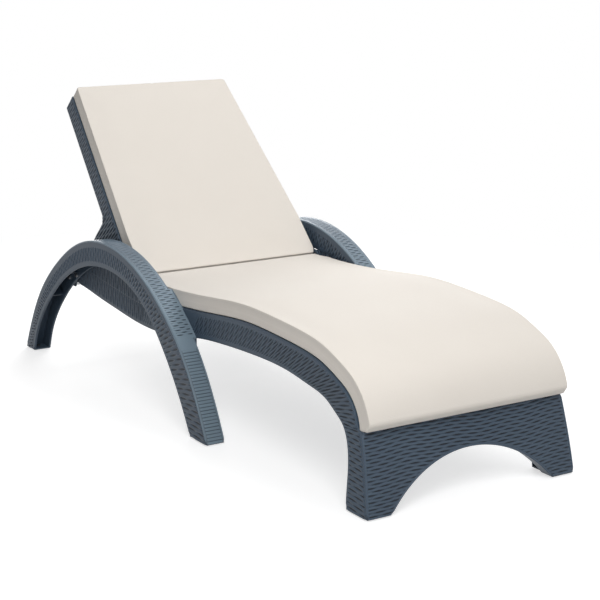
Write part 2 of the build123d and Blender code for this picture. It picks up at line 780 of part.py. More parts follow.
def back_rail(along, inset):
    """A square tube across the back, whose ends meet the cheeks' walls."""
    with BuildPart() as rail:
        half = back_width(along + rail_tube / 2, inset)
        with BuildSketch(Plane(origin=back_plan.from_local_coords((-half, along, sum(rail_depth) / 2)),
                               x_dir=(0, lean_cos, lean_sin), z_dir=(1, 0, 0))):
            Rectangle(rail_tube, rail_tube)
            Rectangle(rail_tube - 2 * rail_tube_wall, rail_tube - 2 * rail_tube_wall, mode=Mode.SUBTRACT)
        extrude(amount=2 * half)
    return rail.part


save(back_rail(lower_rail_place, cheek_wall + clearance), "back_lower_rail")
save(back_rail(prop_place, cheek_wall + clearance), "back_prop_rail")

# Prop brackets: two lugs under the prop rail on each side, with the prop's pin through them
prop_pivot = back_plan.from_local_coords((0, prop_place, -prop_depth))
lug_gap = prop_tube + 2 * clearance
with BuildPart() as prop_bracket:
    with BuildSketch(back_side(prop_half_width - lug_gap / 2 - bracket_wall)):
        with BuildLine():
            Polyline((prop_place - bracket_width / 2, rail_depth[1] - clearance),
                     (prop_place - 2 * prop_pin_radius, -prop_depth), (prop_place + 2 * prop_pin_radius, -prop_depth),
                     (prop_place + bracket_width / 2, rail_depth[1] - clearance), close=True)
        make_face()
        with Locations((prop_place, -prop_depth)):
            RegularPolygon(2 * prop_pin_radius, small_sides)
            RegularPolygon(prop_pin_radius + running_clearance, small_sides, major_radius=False,
                           mode=Mode.SUBTRACT)
    extrude(amount=bracket_wall)
    with BuildSketch(back_side(prop_half_width + lug_gap / 2)):
        with BuildLine():
            Polyline((prop_place - bracket_width / 2, rail_depth[1] - clearance),
                     (prop_place - 2 * prop_pin_radius, -prop_depth), (prop_place + 2 * prop_pin_radius, -prop_depth),
                     (prop_place + bracket_width / 2, rail_depth[1] - clearance), close=True)
        make_face()
        with Locations((prop_place, -prop_depth)):
            RegularPolygon(2 * prop_pin_radius, small_sides)
            RegularPolygon(prop_pin_radius + running_clearance, small_sides, major_radius=False,
                           mode=Mode.SUBTRACT)
    extrude(amount=bracket_wall)
    with BuildSketch(back_plan.offset(rail_depth[1])):
        with Locations((prop_half_width, prop_place)):
            Rectangle(lug_gap + 2 * bracket_wall, bracket_width)
    extrude(amount=-bracket_wall)
save_pair(prop_bracket.part, "prop_bracket")

# Prop: a U of tube that hangs from the brackets and stands in the racks
prop_drop = prop_pivot.Z - prop_foot_height
foot_y = prop_pivot.Y + sqrt(prop_length ** 2 - prop_drop ** 2)
leg_run = Vector(0, foot_y - prop_pivot.Y, -prop_drop).normalized()
prop_plane = Plane(origin=prop_pivot, x_dir=(1, 0, 0), z_dir=(0, -leg_run.Z, leg_run.Y))
with BuildPart() as prop_bar:
    with BuildLine(prop_plane) as prop_path:
        FilletPolyline((-prop_half_width, 0), (-prop_half_width, prop_length), (prop_half_width, prop_length),
                       (prop_half_width, 0), radius=prop_bend)
    with BuildSketch(Plane(origin=prop_path.line @ 0, z_dir=prop_path.line % 0)):
        RegularPolygon(prop_tube / 2, tube_sides)
    sweep()
    for hand in (-1, 1):
        with BuildSketch(Plane.YZ.offset(hand * prop_half_width - prop_eye_width / 2)):
            with Locations((prop_pivot.Y, prop_pivot.Z)):
                RegularPolygon(prop_eye_radius, bush_sides)
        extrude(amount=prop_eye_width)
    for hand in (-1, 1):
        with BuildSketch(Plane.YZ.offset(hand * prop_half_width - prop_tube)):
            with Locations((prop_pivot.Y, prop_pivot.Z)):
                Circle(prop_pin_radius + running_clearance)
        extrude(amount=2 * prop_tube, mode=Mode.SUBTRACT)
save(prop_bar.part, "prop_bar")

with BuildPart() as prop_pin:
    pin_start = prop_half_width - lug_gap / 2 - bracket_wall
    with BuildSketch(Plane.YZ.offset(pin_start - bracket_wall)):
        with Locations((prop_pivot.Y, prop_pivot.Z)):
            RegularPolygon(prop_pin_radius * 3 / 2, small_sides)
    extrude(amount=bracket_wall)
    with BuildSketch(Plane.YZ.offset(pin_start)):
        with Locations((prop_pivot.Y, prop_pivot.Z)):
            Circle(prop_pin_radius)
    extrude(amount=lug_gap + 3 * bracket_wall)
save_pair(prop_pin.part, "prop_pin")

with BuildPart() as prop_sleeve:
    with BuildSketch(Plane.YZ.offset(rack_offset - sleeve_length / 2)):
        with Locations((foot_y, prop_foot_height)):
            RegularPolygon(prop_tube / 2 + sleeve_wall, bush_sides)
            RegularPolygon(prop_tube / 2, bush_sides, major_radius=False, mode=Mode.SUBTRACT)
    extrude(amount=sleeve_length)
save_pair(prop_sleeve.part, "prop_sleeve")

# Cross members: they join the side panels, carry the racks and stop the back when it lies flat
cross_top = hinge_z + frame_rear - 2 * clearance
rack_top = cross_top - cross_height
rear_cross_y = tongue_end - tongue_length / 2
hinge_cross_y = side(hinge_cross_place, 0)[0]


def cross_tube(place_y, low, width, height, label):
    """A box tube between the side panels' walls."""
    with BuildPart() as tube:
        with BuildSketch(Plane.YZ.offset(-panel_outer + panel_wall)):
            with Locations((place_y, low + height / 2)):
                Rectangle(width, height)
                Rectangle(width - 2 * cross_wall, height - 2 * cross_wall, mode=Mode.SUBTRACT)
        extrude(amount=2 * (panel_outer - panel_wall))
    save(tube.part, label)


cross_tube(rear_cross_y, rack_top, cross_width, cross_height, "rear_cross_member")
cross_tube(hinge_cross_y, rack_top, cross_width, hinge_cross_height, "hinge_cross_member")
for number, place in enumerate(brace_places, start=1):
    brace_top = min(deck_underside(place - brace_width / 2), deck_underside(place + brace_width / 2))
    brace_low = brace_top - panel_wall - clearance - brace_height
    cross_tube(side(place, 0)[0], brace_low, brace_width, brace_height, f"seat_brace_{number}")

# Racks: notched rails under the back that take the prop's foot
tooth_top = prop_foot_height - prop_tube / 2 - sleeve_wall - foot_gap
notch_radius = prop_tube / 2 + sleeve_wall + foot_gap
notch_places = [foot_y + (step - notches_ahead) * notch_spacing for step in range(notch_count)]
with BuildPart() as rack:
    with BuildSketch(Plane.YZ.offset(rack_offset - rack_width / 2)):
        with BuildLine():
            Polyline((hinge_cross_y - cross_width / 2, rack_top - rack_height),
                     (rear_cross_y + cross_width / 2, rack_top - rack_height),
                     (rear_cross_y + cross_width / 2, rack_top), (hinge_cross_y - cross_width / 2, rack_top),
                     close=True)
        make_face()
        with BuildLine():
            Polyline((notch_places[0] - notch_spacing, rack_top - notch_depth),
                     (notch_places[-1] + notch_spacing, rack_top - notch_depth),
                     (notch_places[-1] + notch_spacing / 2, tooth_top),
                     (notch_places[0] - notch_spacing / 2, tooth_top), close=True)
        make_face()
        with Locations(*[(place, tooth_top - notch_depth + notch_radius) for place in notch_places]):
            Circle(notch_radius, mode=Mode.SUBTRACT)
    extrude(amount=rack_width)
save_pair(rack.part, "prop_rack")

# Glides: pads under the six feet, each with a peg in the foot's sole
front_foot = (panel_outer + foot_flare - leg_width / 2, (front_bottom[0] + leg_back[0]) / 2)
for name, centre, length in (("front_glide", front_foot, front_glide_length),
                             ("mid_glide", foot_centres[0], mid_glide_length),
                             ("rear_glide", foot_centres[1], rear_glide_length)):
    with BuildPart() as glide:
        with BuildSketch(Plane.XY) as glide_outline:
            with Locations(centre):
                Rectangle(glide_width, length)
            chamfer(glide_outline.vertices(), peg_radius)
        extrude(amount=glide_thickness)
        with BuildSketch(Plane.XY):
            with Locations(centre):
                RegularPolygon(peg_radius, small_sides)
        extrude(amount=glide_thickness + peg_length)
    save_pair(glide.part, name)


def bolt_group(start, parts, label):
    """One solid of stacked discs at every arm bolt of both sides, from a place across the lounger."""
    with BuildPart() as group:
        for hand in (-1, 1):
            for place in bolt_places:
                reach = start
                for shape, length in parts:
                    with BuildSketch(Plane.YZ.offset(hand * reach)):
                        with Locations(place):
                            add(shape)
                    extrude(amount=hand * length)
                    reach += length
    save(group.part, label)


def disc(outer, inner=0):
    """A flat ring or disc with a few sides."""
    with BuildSketch() as ring:
        RegularPolygon(outer, small_sides)
        if inner > 0:
            RegularPolygon(inner, small_sides, mode=Mode.SUBTRACT)
    return ring.sketch


def hexagon(across, inner):
    """The section of a nut."""
    with BuildSketch() as nut:
        RegularPolygon(across / 2, nut_sides, major_radius=False)
        RegularPolygon(inner, small_sides, mode=Mode.SUBTRACT)
    return nut.sketch


# Arm bolts: heads inside the arm's channel, washers and nuts on the panels' inner faces
washer_start = panel_outer - panel_wall - washer_thickness
bolt_length = arm_inner + arm_wall - washer_start + nut_height
bolt_group(washer_start - nut_height, [(disc(bolt_radius), bolt_length), (disc(bolt_head_radius), bolt_head_height)],
           "arm_bolts")
bolt_group(washer_start, [(disc(washer_radius, bolt_radius + running_clearance), washer_thickness)], "arm_washers")
bolt_group(washer_start - nut_height, [(hexagon(nut_across, bolt_radius), nut_height)], "arm_nuts")

# Deck screws: driven from below through the side panels' top flanges
with BuildPart() as deck_screws:
    for share in deck_screw_shares:
        for hand in (-1, 1):
            head_plane = seat_plane(rail_top_depth + panel_wall + clearance, share, hand * deck_screw_across)
            with BuildSketch(head_plane):
                RegularPolygon(screw_head_radius, small_sides)
            extrude(amount=-screw_head_height)
            with BuildSketch(head_plane):
                RegularPolygon(screw_radius, small_sides)
            extrude(amount=panel_wall + deck_thickness)
save(deck_screws.part, "deck_screws")

# Back panel screws: driven from behind through the cheeks' front flanges
with BuildPart() as back_screws:
    for place in back_screw_places:
        for hand in (-1, 1):
            centre = (hand * back_width(place, back_screw_inset), place)
            with BuildSketch(back_plan.offset(panel_rear - panel_wall)):
                with Locations(centre):
                    RegularPolygon(screw_head_radius, small_sides)
            extrude(amount=-screw_head_height)
            with BuildSketch(back_plan.offset(panel_rear - panel_wall)):
                with Locations(centre):
                    RegularPolygon(screw_radius, small_sides)
            extrude(amount=panel_wall + back_panel_thickness - clearance)
save(back_screws.part, "back_panel_screws")


def cushion_section(plane, half_width, crown):
    """A cushion's cross-section: flat underside, bulged sides and a crowned top."""
    flat = half_width - cushion_side_bulge
    with BuildSketch(plane) as section:
        with BuildLine():
            Line((-flat, 0), (flat, 0))
            ThreePointArc((flat, 0), (half_width, cushion_thickness / 2), (flat, cushion_thickness))
            ThreePointArc((flat, cushion_thickness), (0, cushion_thickness + crown), (-flat, cushion_thickness))
            ThreePointArc((-flat, cushion_thickness), (-half_width, cushion_thickness / 2), (-flat, 0))
        make_face()
    return section.sketch


def swell(share):
    """Rises from 0 at a cushion's ends to 1 at its middle."""
    return sin(pi * min(max(share, 0), 1))


# Seat cushion: follows the deck, with drawn-in sides and narrower corners beside the hinge ears
seat_run = seat_top.length
seat_shares = [line_share(step) * (1 - fold_relief_start / seat_run) for step in range(line_steps + 1)]
seat_sections = [(share, seat_half_width - cushion_draw * swell(share)) for share in seat_shares]
seat_sections += [(1 - fold_relief_end / seat_run, fold_half_width), (1, fold_half_width)]
with BuildPart() as seat_cushion:
    for share, half_width in seat_sections:
        section_plane = Plane(origin=(0, *under_seat(cushion_thickness, share)), x_dir=(1, 0, 0),
                              z_dir=-(seat_top % share))
        add(cushion_section(section_plane, half_width, cushion_edge_crown + cushion_crown * swell(share)))
    loft(ruled=True)
save(seat_cushion.part, "seat_cushion")

# Back cushion: tapers to the top like the back it lies on
back_stations = [back_cushion_start, fold_relief_end, fold_relief_start, taper_start]
back_stations += [taper_start + (back_length - taper_start) * (step + 1) / back_steps for step in range(back_steps)]
with BuildPart() as back_cushion:
    for along in back_stations:
        share = along / back_length
        half_width = back_width(along, back_cushion_inset) - cushion_draw * swell(share)
        if along <= fold_relief_end:
            half_width = fold_half_width
        section_plane = Plane(origin=back_plan.from_local_coords((0, along, cushion_back)), x_dir=(1, 0, 0),
                              z_dir=(0, -lean_cos, -lean_sin))
        add(cushion_section(section_plane, half_width, cushion_edge_crown + cushion_crown * swell(share)))
    loft(ruled=True)
save(back_cushion.part, "back_cushion")
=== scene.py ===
# %% [markdown]
# A sun lounger in moulded resin that looks like woven rattan, with a seat cushion and a back cushion.
# The solid parts come ready made from the CAD frame. This notebook adds what the eye sees on them:
# the raised weave, the rounded edges, the soft cushions, the materials, the light and the camera.

# %% Load the CAD frame
import json

import bpy
import numpy as np
from mathutils import Matrix, Vector
from mathutils.kdtree import KDTree


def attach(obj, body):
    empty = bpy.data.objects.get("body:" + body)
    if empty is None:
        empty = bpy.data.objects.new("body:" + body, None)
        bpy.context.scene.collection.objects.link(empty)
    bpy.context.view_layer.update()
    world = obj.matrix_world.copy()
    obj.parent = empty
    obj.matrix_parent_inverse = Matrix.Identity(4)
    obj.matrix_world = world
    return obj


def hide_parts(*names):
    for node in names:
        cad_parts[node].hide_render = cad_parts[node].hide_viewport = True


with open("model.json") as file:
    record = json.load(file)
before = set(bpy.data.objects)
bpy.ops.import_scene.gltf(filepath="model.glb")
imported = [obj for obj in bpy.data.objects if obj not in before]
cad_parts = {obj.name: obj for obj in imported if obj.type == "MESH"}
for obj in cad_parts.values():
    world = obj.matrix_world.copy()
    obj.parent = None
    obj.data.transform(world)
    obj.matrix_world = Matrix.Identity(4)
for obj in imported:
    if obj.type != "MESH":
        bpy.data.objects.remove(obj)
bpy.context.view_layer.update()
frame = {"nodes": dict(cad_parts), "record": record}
bpy.ops.object.select_all(action="DESELECT")

# %% [markdown]
# The camera comes first, because every other choice is judged through it. Its place and lens were
# worked out from the perspective of the lounger's edges, so it is set by numbers, not by eye.

# %% Camera
camera_place = Vector((-2.4401, -3.8823, 1.4277))
camera_turn, camera_tilt, camera_roll = np.radians((-33.04, 13.74, 0.51))
focal_length = 1630.4
picture_width = 600
sensor_width = 36
back = Vector((np.sin(camera_turn) * np.cos(camera_tilt), -np.cos(camera_turn) * np.cos(camera_tilt),
               np.sin(camera_tilt)))
right = Vector((np.cos(camera_turn), np.sin(camera_turn), 0))
up = back.cross(right)
rolled_right = right * np.cos(camera_roll) + up * np.sin(camera_roll)
rolled_up = up * np.cos(camera_roll) - right * np.sin(camera_roll)
camera_axes = Matrix((rolled_right, rolled_up, back)).transposed().to_4x4()
bpy.ops.object.camera_add()
camera = bpy.context.object
camera.matrix_world = Matrix.Translation(camera_place) @ camera_axes
camera.data.sensor_width = sensor_width
camera.data.lens = sensor_width * focal_length / picture_width
camera.data.clip_end = 60
bpy.context.scene.camera = camera
bpy.ops.object.select_all(action="DESELECT")
print("lens", round(camera.data.lens, 1), "mm")

# %% [markdown]
# Light on a product like this is broad and soft. One lamp would leave the near side black, so four
# large square lamps share the work: one high over the sitter's left, one high in front on the sitter's
# right, a weak one low in front, and one low behind that draws the rims of the arms. Large lamps give
# soft edges to the shade and no hard sparkle on the weave.

# %% Lamps
def add_lamp(name, place, aim, size, power):
    """A square soft lamp that shines from a place towards a point."""
    bpy.ops.object.light_add(type="AREA", location=place)
    lamp = bpy.context.object
    lamp.name = name
    lamp.data.shape = "SQUARE"
    lamp.data.size = size
    lamp.data.energy = power
    lamp.rotation_euler = (Vector(aim) - Vector(place)).to_track_quat("-Z", "Y").to_euler()
    bpy.ops.object.select_all(action="DESELECT")
    print(name, power, "W")


add_lamp("overhead_lamp", (1.3, 0.5, 3.4), (0, -0.1, 0.3), 2.4, 58)
add_lamp("left_lamp", (-1.6, -2.6, 2.8), (-0.3, -0.2, 0.2), 1.8, 74)
add_lamp("front_lamp", (0.6, -4.4, 1.7), (0, -0.6, 0.3), 1.8, 19)
add_lamp("rim_lamp", (2.6, 4.2, 1.7), (0, 0.2, 0.4), 2.8, 120)

# %% [markdown]
# Shader maths reads best as plain expressions. The small class below wraps a socket, so that
# writing "weave * 0.5 + 0.1" adds the Math nodes by itself. One method, node, adds any other node, to
# a material or to the world.

# %% Shader helper
class Value:
    """A number socket in a node tree that can be added and multiplied."""

    def __init__(self, tree, socket):
        self.tree = tree
        self.socket = socket

    def maths(self, operation, other):
        return self.tree.node("ShaderNodeMath", {"operation": operation}, {0: self, 1: other})

    def __add__(self, other):
        return self.maths("ADD", other)

    def __mul__(self, other):
        return self.maths("MULTIPLY", other)

    __radd__ = __add__
    __rmul__ = __mul__


class Finish:
    """The nodes of a material or of the world, and the one method that adds nodes to them."""

    def __init__(self, owner, surface="Principled BSDF"):
        owner.use_nodes = True
        self.owner = owner
        self.nodes = owner.node_tree.nodes
        self.links = owner.node_tree.links
        self.surface = self.nodes[surface]

    def node(self, kind, settings=None, inputs=None, output=0):
        made = self.nodes.new(kind)
        for key, value in (settings or {}).items():
            setattr(made, key, value)
        for key, value in (inputs or {}).items():
            self.feed(made.inputs[key], value)
        return Value(self, made.outputs[output])

    def feed(self, socket, value):
        if isinstance(value, Value):
            self.links.new(value.socket, socket)
        else:
            socket.default_value = value

    def set(self, **sockets):
        for key, value in sockets.items():
            self.feed(self.surface.inputs[key.replace("_", " ")], value)


# %% [markdown]
# The world is the light from all round. A weak pale grey fills the shadows. Where the camera looks, or
# a reflection or clear glass does, it is full white, so the background is white and the lounger isn't
# washed out by it. A brighter world would give the same background but flatten every shade.

# %% World
fill_light = 0.15


def seen_as_backdrop(finish):
    """1 where the camera, a reflection or clear glass looks at the backdrop, else 0."""
    camera_ray, glossy_ray, clear_ray = (finish.node("ShaderNodeLightPath", output=ray) for ray in
                                         ("Is Camera Ray", "Is Glossy Ray", "Is Transmission Ray"))
    return camera_ray.maths("MAXIMUM", glossy_ray).maths("MAXIMUM", clear_ray)


world = bpy.data.worlds.new("studio")
bpy.context.scene.world = world
bpy.context.scene.view_settings.view_transform = "Standard"
sky = Finish(world, "Background")
sky.set(Color=(1, 1, 1, 1), Strength=seen_as_backdrop(sky) * (1 - fill_light) + fill_light)
print("world", world.name, "fill", fill_light)

# %% [markdown]
# The resin of the frame is one dark slate colour. What makes it look real is its slight mottling, the
# fine moulded grain, and painted shade in the grooves between the strands. The grooves are read from an
# attribute that each woven piece carries, so the painted shade follows the shape. The tops of the arms
# and their top edges get painted light: they are mixed towards a much lighter slate.

# %% Resin finishes
slate_dark = (0.050, 0.075, 0.110, 1)
slate_light = (0.068, 0.099, 0.138, 1)
# The third colour is painted light: a much lighter slate that the arms' top faces and top edges are mixed
# towards, where light falls on them.
slate_painted_light = (0.200, 0.268, 0.325, 1)
# The fourth colour is painted shade, laid into the gaps between strands.
gap_shade = (0.004, 0.006, 0.010, 1)


def object_noise(finish, scale, detail):
    """A noise that stays with the piece."""
    place = finish.node("ShaderNodeTexCoord", output="Object")
    return finish.node("ShaderNodeTexNoise", {}, {"Vector": place, "Scale": scale, "Detail": detail})


def blended(finish, share, first, second):
    """A colour between two colours."""
    return finish.node("ShaderNodeMix", {"data_type": "RGBA"}, {0: share, 6: first, 7: second}, output=2)


def bump(finish, height, strength, distance):
    """A height as a normal."""
    return finish.node("ShaderNodeBump", {}, {"Strength": strength, "Distance": distance, "Height": height})


def resin(name, woven, painted_light=0.0):
    """Slate resin. A woven piece carries its relief, which darkens the gaps with painted shade, and its share
    of painted light.
    """
    finish = Finish(bpy.data.materials.new(name))
    noise = object_noise(finish, 9.0, 5.0)
    if woven:
        # A woven piece's lighter share is painted light, read from an attribute.
        painted_light = finish.node("ShaderNodeAttribute", {"attribute_name": "painted_light"}, output=2)
    colour = blended(finish, painted_light, blended(finish, noise, slate_dark, slate_light), slate_painted_light)
    if woven:
        # The gaps between strands are darkened with painted shade, by the relief.
        relief = finish.node("ShaderNodeAttribute", {"attribute_name": "relief"}, output=2)
        colour = blended(finish, relief, gap_shade, colour)
    finish.surface.inputs["Specular IOR Level"].default_value = 0.3
    finish.set(Base_Color=colour, Roughness=noise * 0.12 + 0.33,
               Normal=bump(finish, object_noise(finish, 520.0, 4.0), 0.35, 0.0004))
    return finish.owner


woven_resin = resin("woven_resin", True)
plain_resin = resin("plain_resin", False)
# The edge resin is a painted highlight: the slate mixed most of the way to the lighter slate, for the arms'
# top edges.
edge_highlight_resin = resin("edge_highlight_resin", False, 0.8)
print("resins", woven_resin.name, plain_resin.name, edge_highlight_resin.name)

# %% [markdown]
# The prop is drawn aluminium tube, and the bolts are steel. Drawing leaves faint long streaks, so the
# noise is stretched along one way before it roughens the metal. Streaks in the roughness show up only
# where light glances off, as on real tube.

# %% Metals
def bare_metal(name, colour, roughness):
    """Drawn metal with faint long streaks."""
    finish = Finish(bpy.data.materials.new(name))
    place = finish.node("ShaderNodeTexCoord", output="Object")
    stretched = finish.node("ShaderNodeMapping", {}, {"Vector": place, "Scale": (4.0, 60.0, 60.0)})
    noise = finish.node("ShaderNodeTexNoise", {}, {"Vector": stretched, "Scale": 8.0, "Detail": 6.0})
    finish.set(Base_Color=colour, Metallic=1.0, Roughness=noise * 0.2 + roughness,
               Normal=bump(finish, noise, 0.15, 0.0002))
    return finish.owner


tube_metal = bare_metal("tube_aluminium", (0.62, 0.63, 0.64, 1), 0.28)
steel = bare_metal("fastener_steel", (0.50, 0.50, 0.51, 1), 0.22)
print("metals", tube_metal.name, steel.name)

# %% [markdown]
# Bushes and sleeves are black nylon, and the glides under the feet are rubber. Both are dull and very
# dark, with a grain so fine that it only softens their shine, so one function makes both.

# %% Nylon and rubber
def soft_plastic(name, dark, light, roughness):
    """Dull plastic or rubber with a fine grain."""
    finish = Finish(bpy.data.materials.new(name))
    noise = object_noise(finish, 40.0, 5.0)
    finish.set(Base_Color=blended(finish, noise, dark, light), Roughness=noise * 0.15 + roughness,
               Normal=bump(finish, object_noise(finish, 900.0, 4.0), 0.3, 0.0003))
    return finish.owner


nylon = soft_plastic("black_nylon", (0.018, 0.019, 0.021, 1), (0.030, 0.031, 0.034, 1), 0.42)
rubber = soft_plastic("glide_rubber", (0.012, 0.012, 0.013, 1), (0.022, 0.022, 0.024, 1), 0.68)
print("plastics", nylon.name, rubber.name)

# %% [markdown]
# The cushions have a cream woven cover. Two sets of fine bands that cross stand for its threads: they
# darken the colour a little and raise a slight normal. Bands keep an even pitch, which a noise wouldn't.

# %% Cushion cloth
thread_scale = 320.0


def threads_along(finish, place, direction):
    """Fine bands one way of the cloth."""
    return finish.node("ShaderNodeTexWave", {"wave_type": "BANDS", "bands_direction": direction},
                       {"Vector": place, "Scale": thread_scale, "Distortion": 0.6, "Detail": 1.0}, output=1)


def cushion_cloth():
    """Cream woven cover: fine crossing threads, a faint drift of tone and a soft sheen."""
    finish = Finish(bpy.data.materials.new("cream_cloth"))
    noise = object_noise(finish, 6.0, 5.0)
    place = finish.node("ShaderNodeTexCoord", output="Object")
    threads = threads_along(finish, place, "X") * 0.5 + threads_along(finish, place, "Y") * 0.5
    cream = blended(finish, noise, (0.83, 0.775, 0.705, 1), (0.88, 0.825, 0.755, 1))
    finish.surface.inputs["Sheen Weight"].default_value = 0.25
    finish.set(Base_Color=blended(finish, threads * 0.5 + 0.5, (0.74, 0.69, 0.63, 1), cream),
               Roughness=noise * 0.08 + 0.86, Normal=bump(finish, threads, 0.25, 0.0004))
    return finish.owner


cream_cloth = cushion_cloth()
print("cloth", cream_cloth.name)

# %% [markdown]
# Every solid of the CAD model gets a finish too, because some of them show between the dressed pieces.
# The record names a slot for each node, and the table below gives each slot its finish.

# %% Finishes on the solids
finishes = {"woven_resin": plain_resin, "plain_resin": plain_resin, "tube": tube_metal, "steel": steel,
            "nylon": nylon, "glide_rubber": rubber, "cushion_fabric": cream_cloth}
slot_of = {part["node"]: part["material_slot"] for part in frame["record"]["subparts"]}
for node, piece in frame["nodes"].items():
    for material_slot in piece.material_slots:
        material_slot.material = finishes[slot_of[node]]
print("finishes on", len(frame["nodes"]), "nodes")


# %% [markdown]
# The lounger's shape lives in a few smooth side-view lines: the arch of the arms, the top of the seat,
# the underside of the rail. They are drawn here again from the same shares as in the CAD, as smooth
# lines through points, so that the woven skins lie exactly on the solid faces.

# %% Smooth lines
class SmoothLine:
    """The cubic line through some points of the side view, walked by shares of its length."""

    fine_points = 4000

    def __init__(self, points):
        points = np.array(points, float)
        steps = np.linalg.norm(np.diff(points, axis=0), axis=1)
        knots = np.concatenate([[0], np.cumsum(steps)])
        slopes = np.diff(points, axis=0) / steps[:, None]
        count = len(points)
        matrix = np.zeros((count, count))
        target = np.zeros((count, 2))
        matrix[0, 0] = matrix[-1, -1] = 1
        target[0] = self.end_slope(knots[:4], points[:4], knots[0])
        target[-1] = self.end_slope(knots[-4:], points[-4:], knots[-1])
        for row in range(1, count - 1):
            before, after = steps[row - 1], steps[row]
            matrix[row, row - 1:row + 2] = 1 / before, 2 / before + 2 / after, 1 / after
            target[row] = 3 * (slopes[row - 1] / before + slopes[row] / after)
        tangents = np.linalg.solve(matrix, target)
        fine = np.linspace(0, knots[-1], self.fine_points)
        place = np.clip(np.searchsorted(knots, fine, side="right") - 1, 0, count - 2)
        share = ((fine - knots[place]) / steps[place])[:, None]
        run = steps[place][:, None]
        self.points = ((2 * share ** 3 - 3 * share ** 2 + 1) * points[place]
                       + (share ** 3 - 2 * share ** 2 + share) * run * tangents[place]
                       + (3 * share ** 2 - 2 * share ** 3) * points[place + 1]
                       + (share ** 3 - share ** 2) * run * tangents[place + 1])
        self.measure()

    @staticmethod
    def end_slope(knots, points, knot):
        """The slope at a knot of the cubic through four points."""
        slope = np.zeros(2)
        for here in range(4):
            others = [k for k in range(4) if k != here]
            bottom = np.prod([knots[here] - knots[k] for k in others])
            top = sum(np.prod([knot - knots[k] for k in others if k != left]) for left in others)
            slope += points[here] * top / bottom
        return slope

    @classmethod
    def through(cls, dense_points):
        """A line of many close points, taken as it is."""
        line = cls.__new__(cls)
        line.points = np.array(dense_points, float)
        line.measure()
        return line

    def measure(self):
        lengths = np.linalg.norm(np.diff(self.points, axis=0), axis=1)
        self.lengths = np.concatenate([[0], np.cumsum(lengths)])
        self.length = self.lengths[-1]
        runs = np.gradient(self.points, axis=0)
        self.runs = runs / np.linalg.norm(runs, axis=1)[:, None]

    def at(self, share):
        walked = np.asarray(share) * self.length
        return np.stack([np.interp(walked, self.lengths, self.points[:, axis]) for axis in (0, 1)], axis=-1)

    def run_at(self, share):
        walked = np.asarray(share) * self.length
        runs = np.stack([np.interp(walked, self.lengths, self.runs[:, axis]) for axis in (0, 1)], axis=-1)
        return runs / np.linalg.norm(runs, axis=-1, keepdims=True)


print("smooth lines have", SmoothLine.fine_points, "points")

# %% [markdown]
# The numbers below are the lounger's own: its length, the height of its arch, and the points of each
# line as shares of them. With shares, a longer or higher lounger would keep its curves.

# %% The lounger's lines
overall_length = 1.860
half_length = overall_length / 2
arch_front = 0.675
arch_span = overall_length - arch_front
arch_height = 0.445
sole = 0.003
seat_length = 1.171
seat_crest = 0.406


def arch_line(shares):
    return [(arch_front + share[0] * arch_span - half_length, sole + share[1] * arch_height)
            for share in shares]


def seat_line(shares):
    return [(share[0] * seat_length - half_length, share[1] * seat_crest) for share in shares]


arch_outer = SmoothLine(arch_line([
    (0, 0), (0.05, 0.252), (0.127, 0.53), (0.215, 0.73), (0.338, 0.912), (0.521, 1), (0.65, 0.934),
    (0.775, 0.753), (0.901, 0.452), (0.97, 0.165), (1, 0)]))
arch_inner = SmoothLine(arch_line([
    (0.076, 0), (0.137, 0.26), (0.217, 0.514), (0.301, 0.703), (0.387, 0.805), (0.503, 0.842),
    (0.614, 0.803), (0.736, 0.662), (0.851, 0.42), (0.931, 0.142), (0.95, 0)]))
seat_top = SmoothLine(seat_line([
    (0.0125, 0.54), (0.018, 0.605), (0.043, 0.732), (0.075, 0.815), (0.125, 0.884), (0.182, 0.941),
    (0.255, 0.975), (0.364, 0.994), (0.493, 1), (0.67, 0.953), (0.81, 0.916), (1, 0.909)]))
rail_low = SmoothLine(seat_line([
    (0.0743, 0.0074), (0.0777, 0.273), (0.0854, 0.397), (0.105, 0.5), (0.138, 0.567), (0.17, 0.618),
    (0.235, 0.658), (0.304, 0.685), (0.446, 0.695), (0.597, 0.672), (0.705, 0.64), (0.811, 0.586),
    (0.939, 0.549), (1.037, 0.554)]) + arch_line([
        (0.55, 0.521), (0.652, 0.548), (0.747, 0.577), (0.792, 0.582)]))
rear_top = SmoothLine(arch_line([
    (0.4338, 0.8337), (0.503, 0.865), (0.614, 0.826), (0.7, 0.753), (0.821, 0.646)]))


def under_seat(depth):
    """The line at a depth square to the seat's top line."""
    runs = seat_top.runs
    return seat_top.points + depth * np.stack([runs[:, 1], -runs[:, 0]], axis=-1)


print("arch", round(arch_outer.length, 3), "m, seat", round(seat_top.length, 3), "m")

# %% [markdown]
# The weave is real geometry: a pattern of strands says how high each spot of a face is raised. A flat
# texture couldn't catch the light at its edges or follow the curve of the arch. The strands touch side
# by side and part in small lens-shaped gaps, which are staggered from one strand to the next.

# %% Strand patterns
full_lift = 0.0017
rim_sink = 0.0010
groove = 0.0002


def woven(along, across, length, pitch, gap=0.27, reach=0.44):
    """Strands that touch side by side, with staggered lens-shaped gaps: 0 in the gaps, 1 on the crowns."""
    line = np.round(across / pitch)
    offset = np.abs(across - line * pitch) / pitch
    phase = along / length + 0.5 * (line % 2)
    place = np.abs(phase - np.round(phase)) / reach
    open_share = np.clip(1 - place * place, 0, 1)
    half_gap = gap * open_share
    wall = np.clip((offset - 0.45 * half_gap) / (0.10 + 0.45 * half_gap), 0, 1)
    crown = 1 - 0.6 * (1 - np.clip(2 * offset, 0, 1)) ** 2.2
    return crown * (1 - open_share ** 0.6 * (1 - wall * wall * (3 - 2 * wall)))


def pillow(position, pitch, fullness):
    """A row of rounded ribs: 0 in the grooves and 1 on the crowns."""
    phase = position / pitch - np.floor(position / pitch)
    return 1 - np.abs(2 * phase - 1) ** fullness


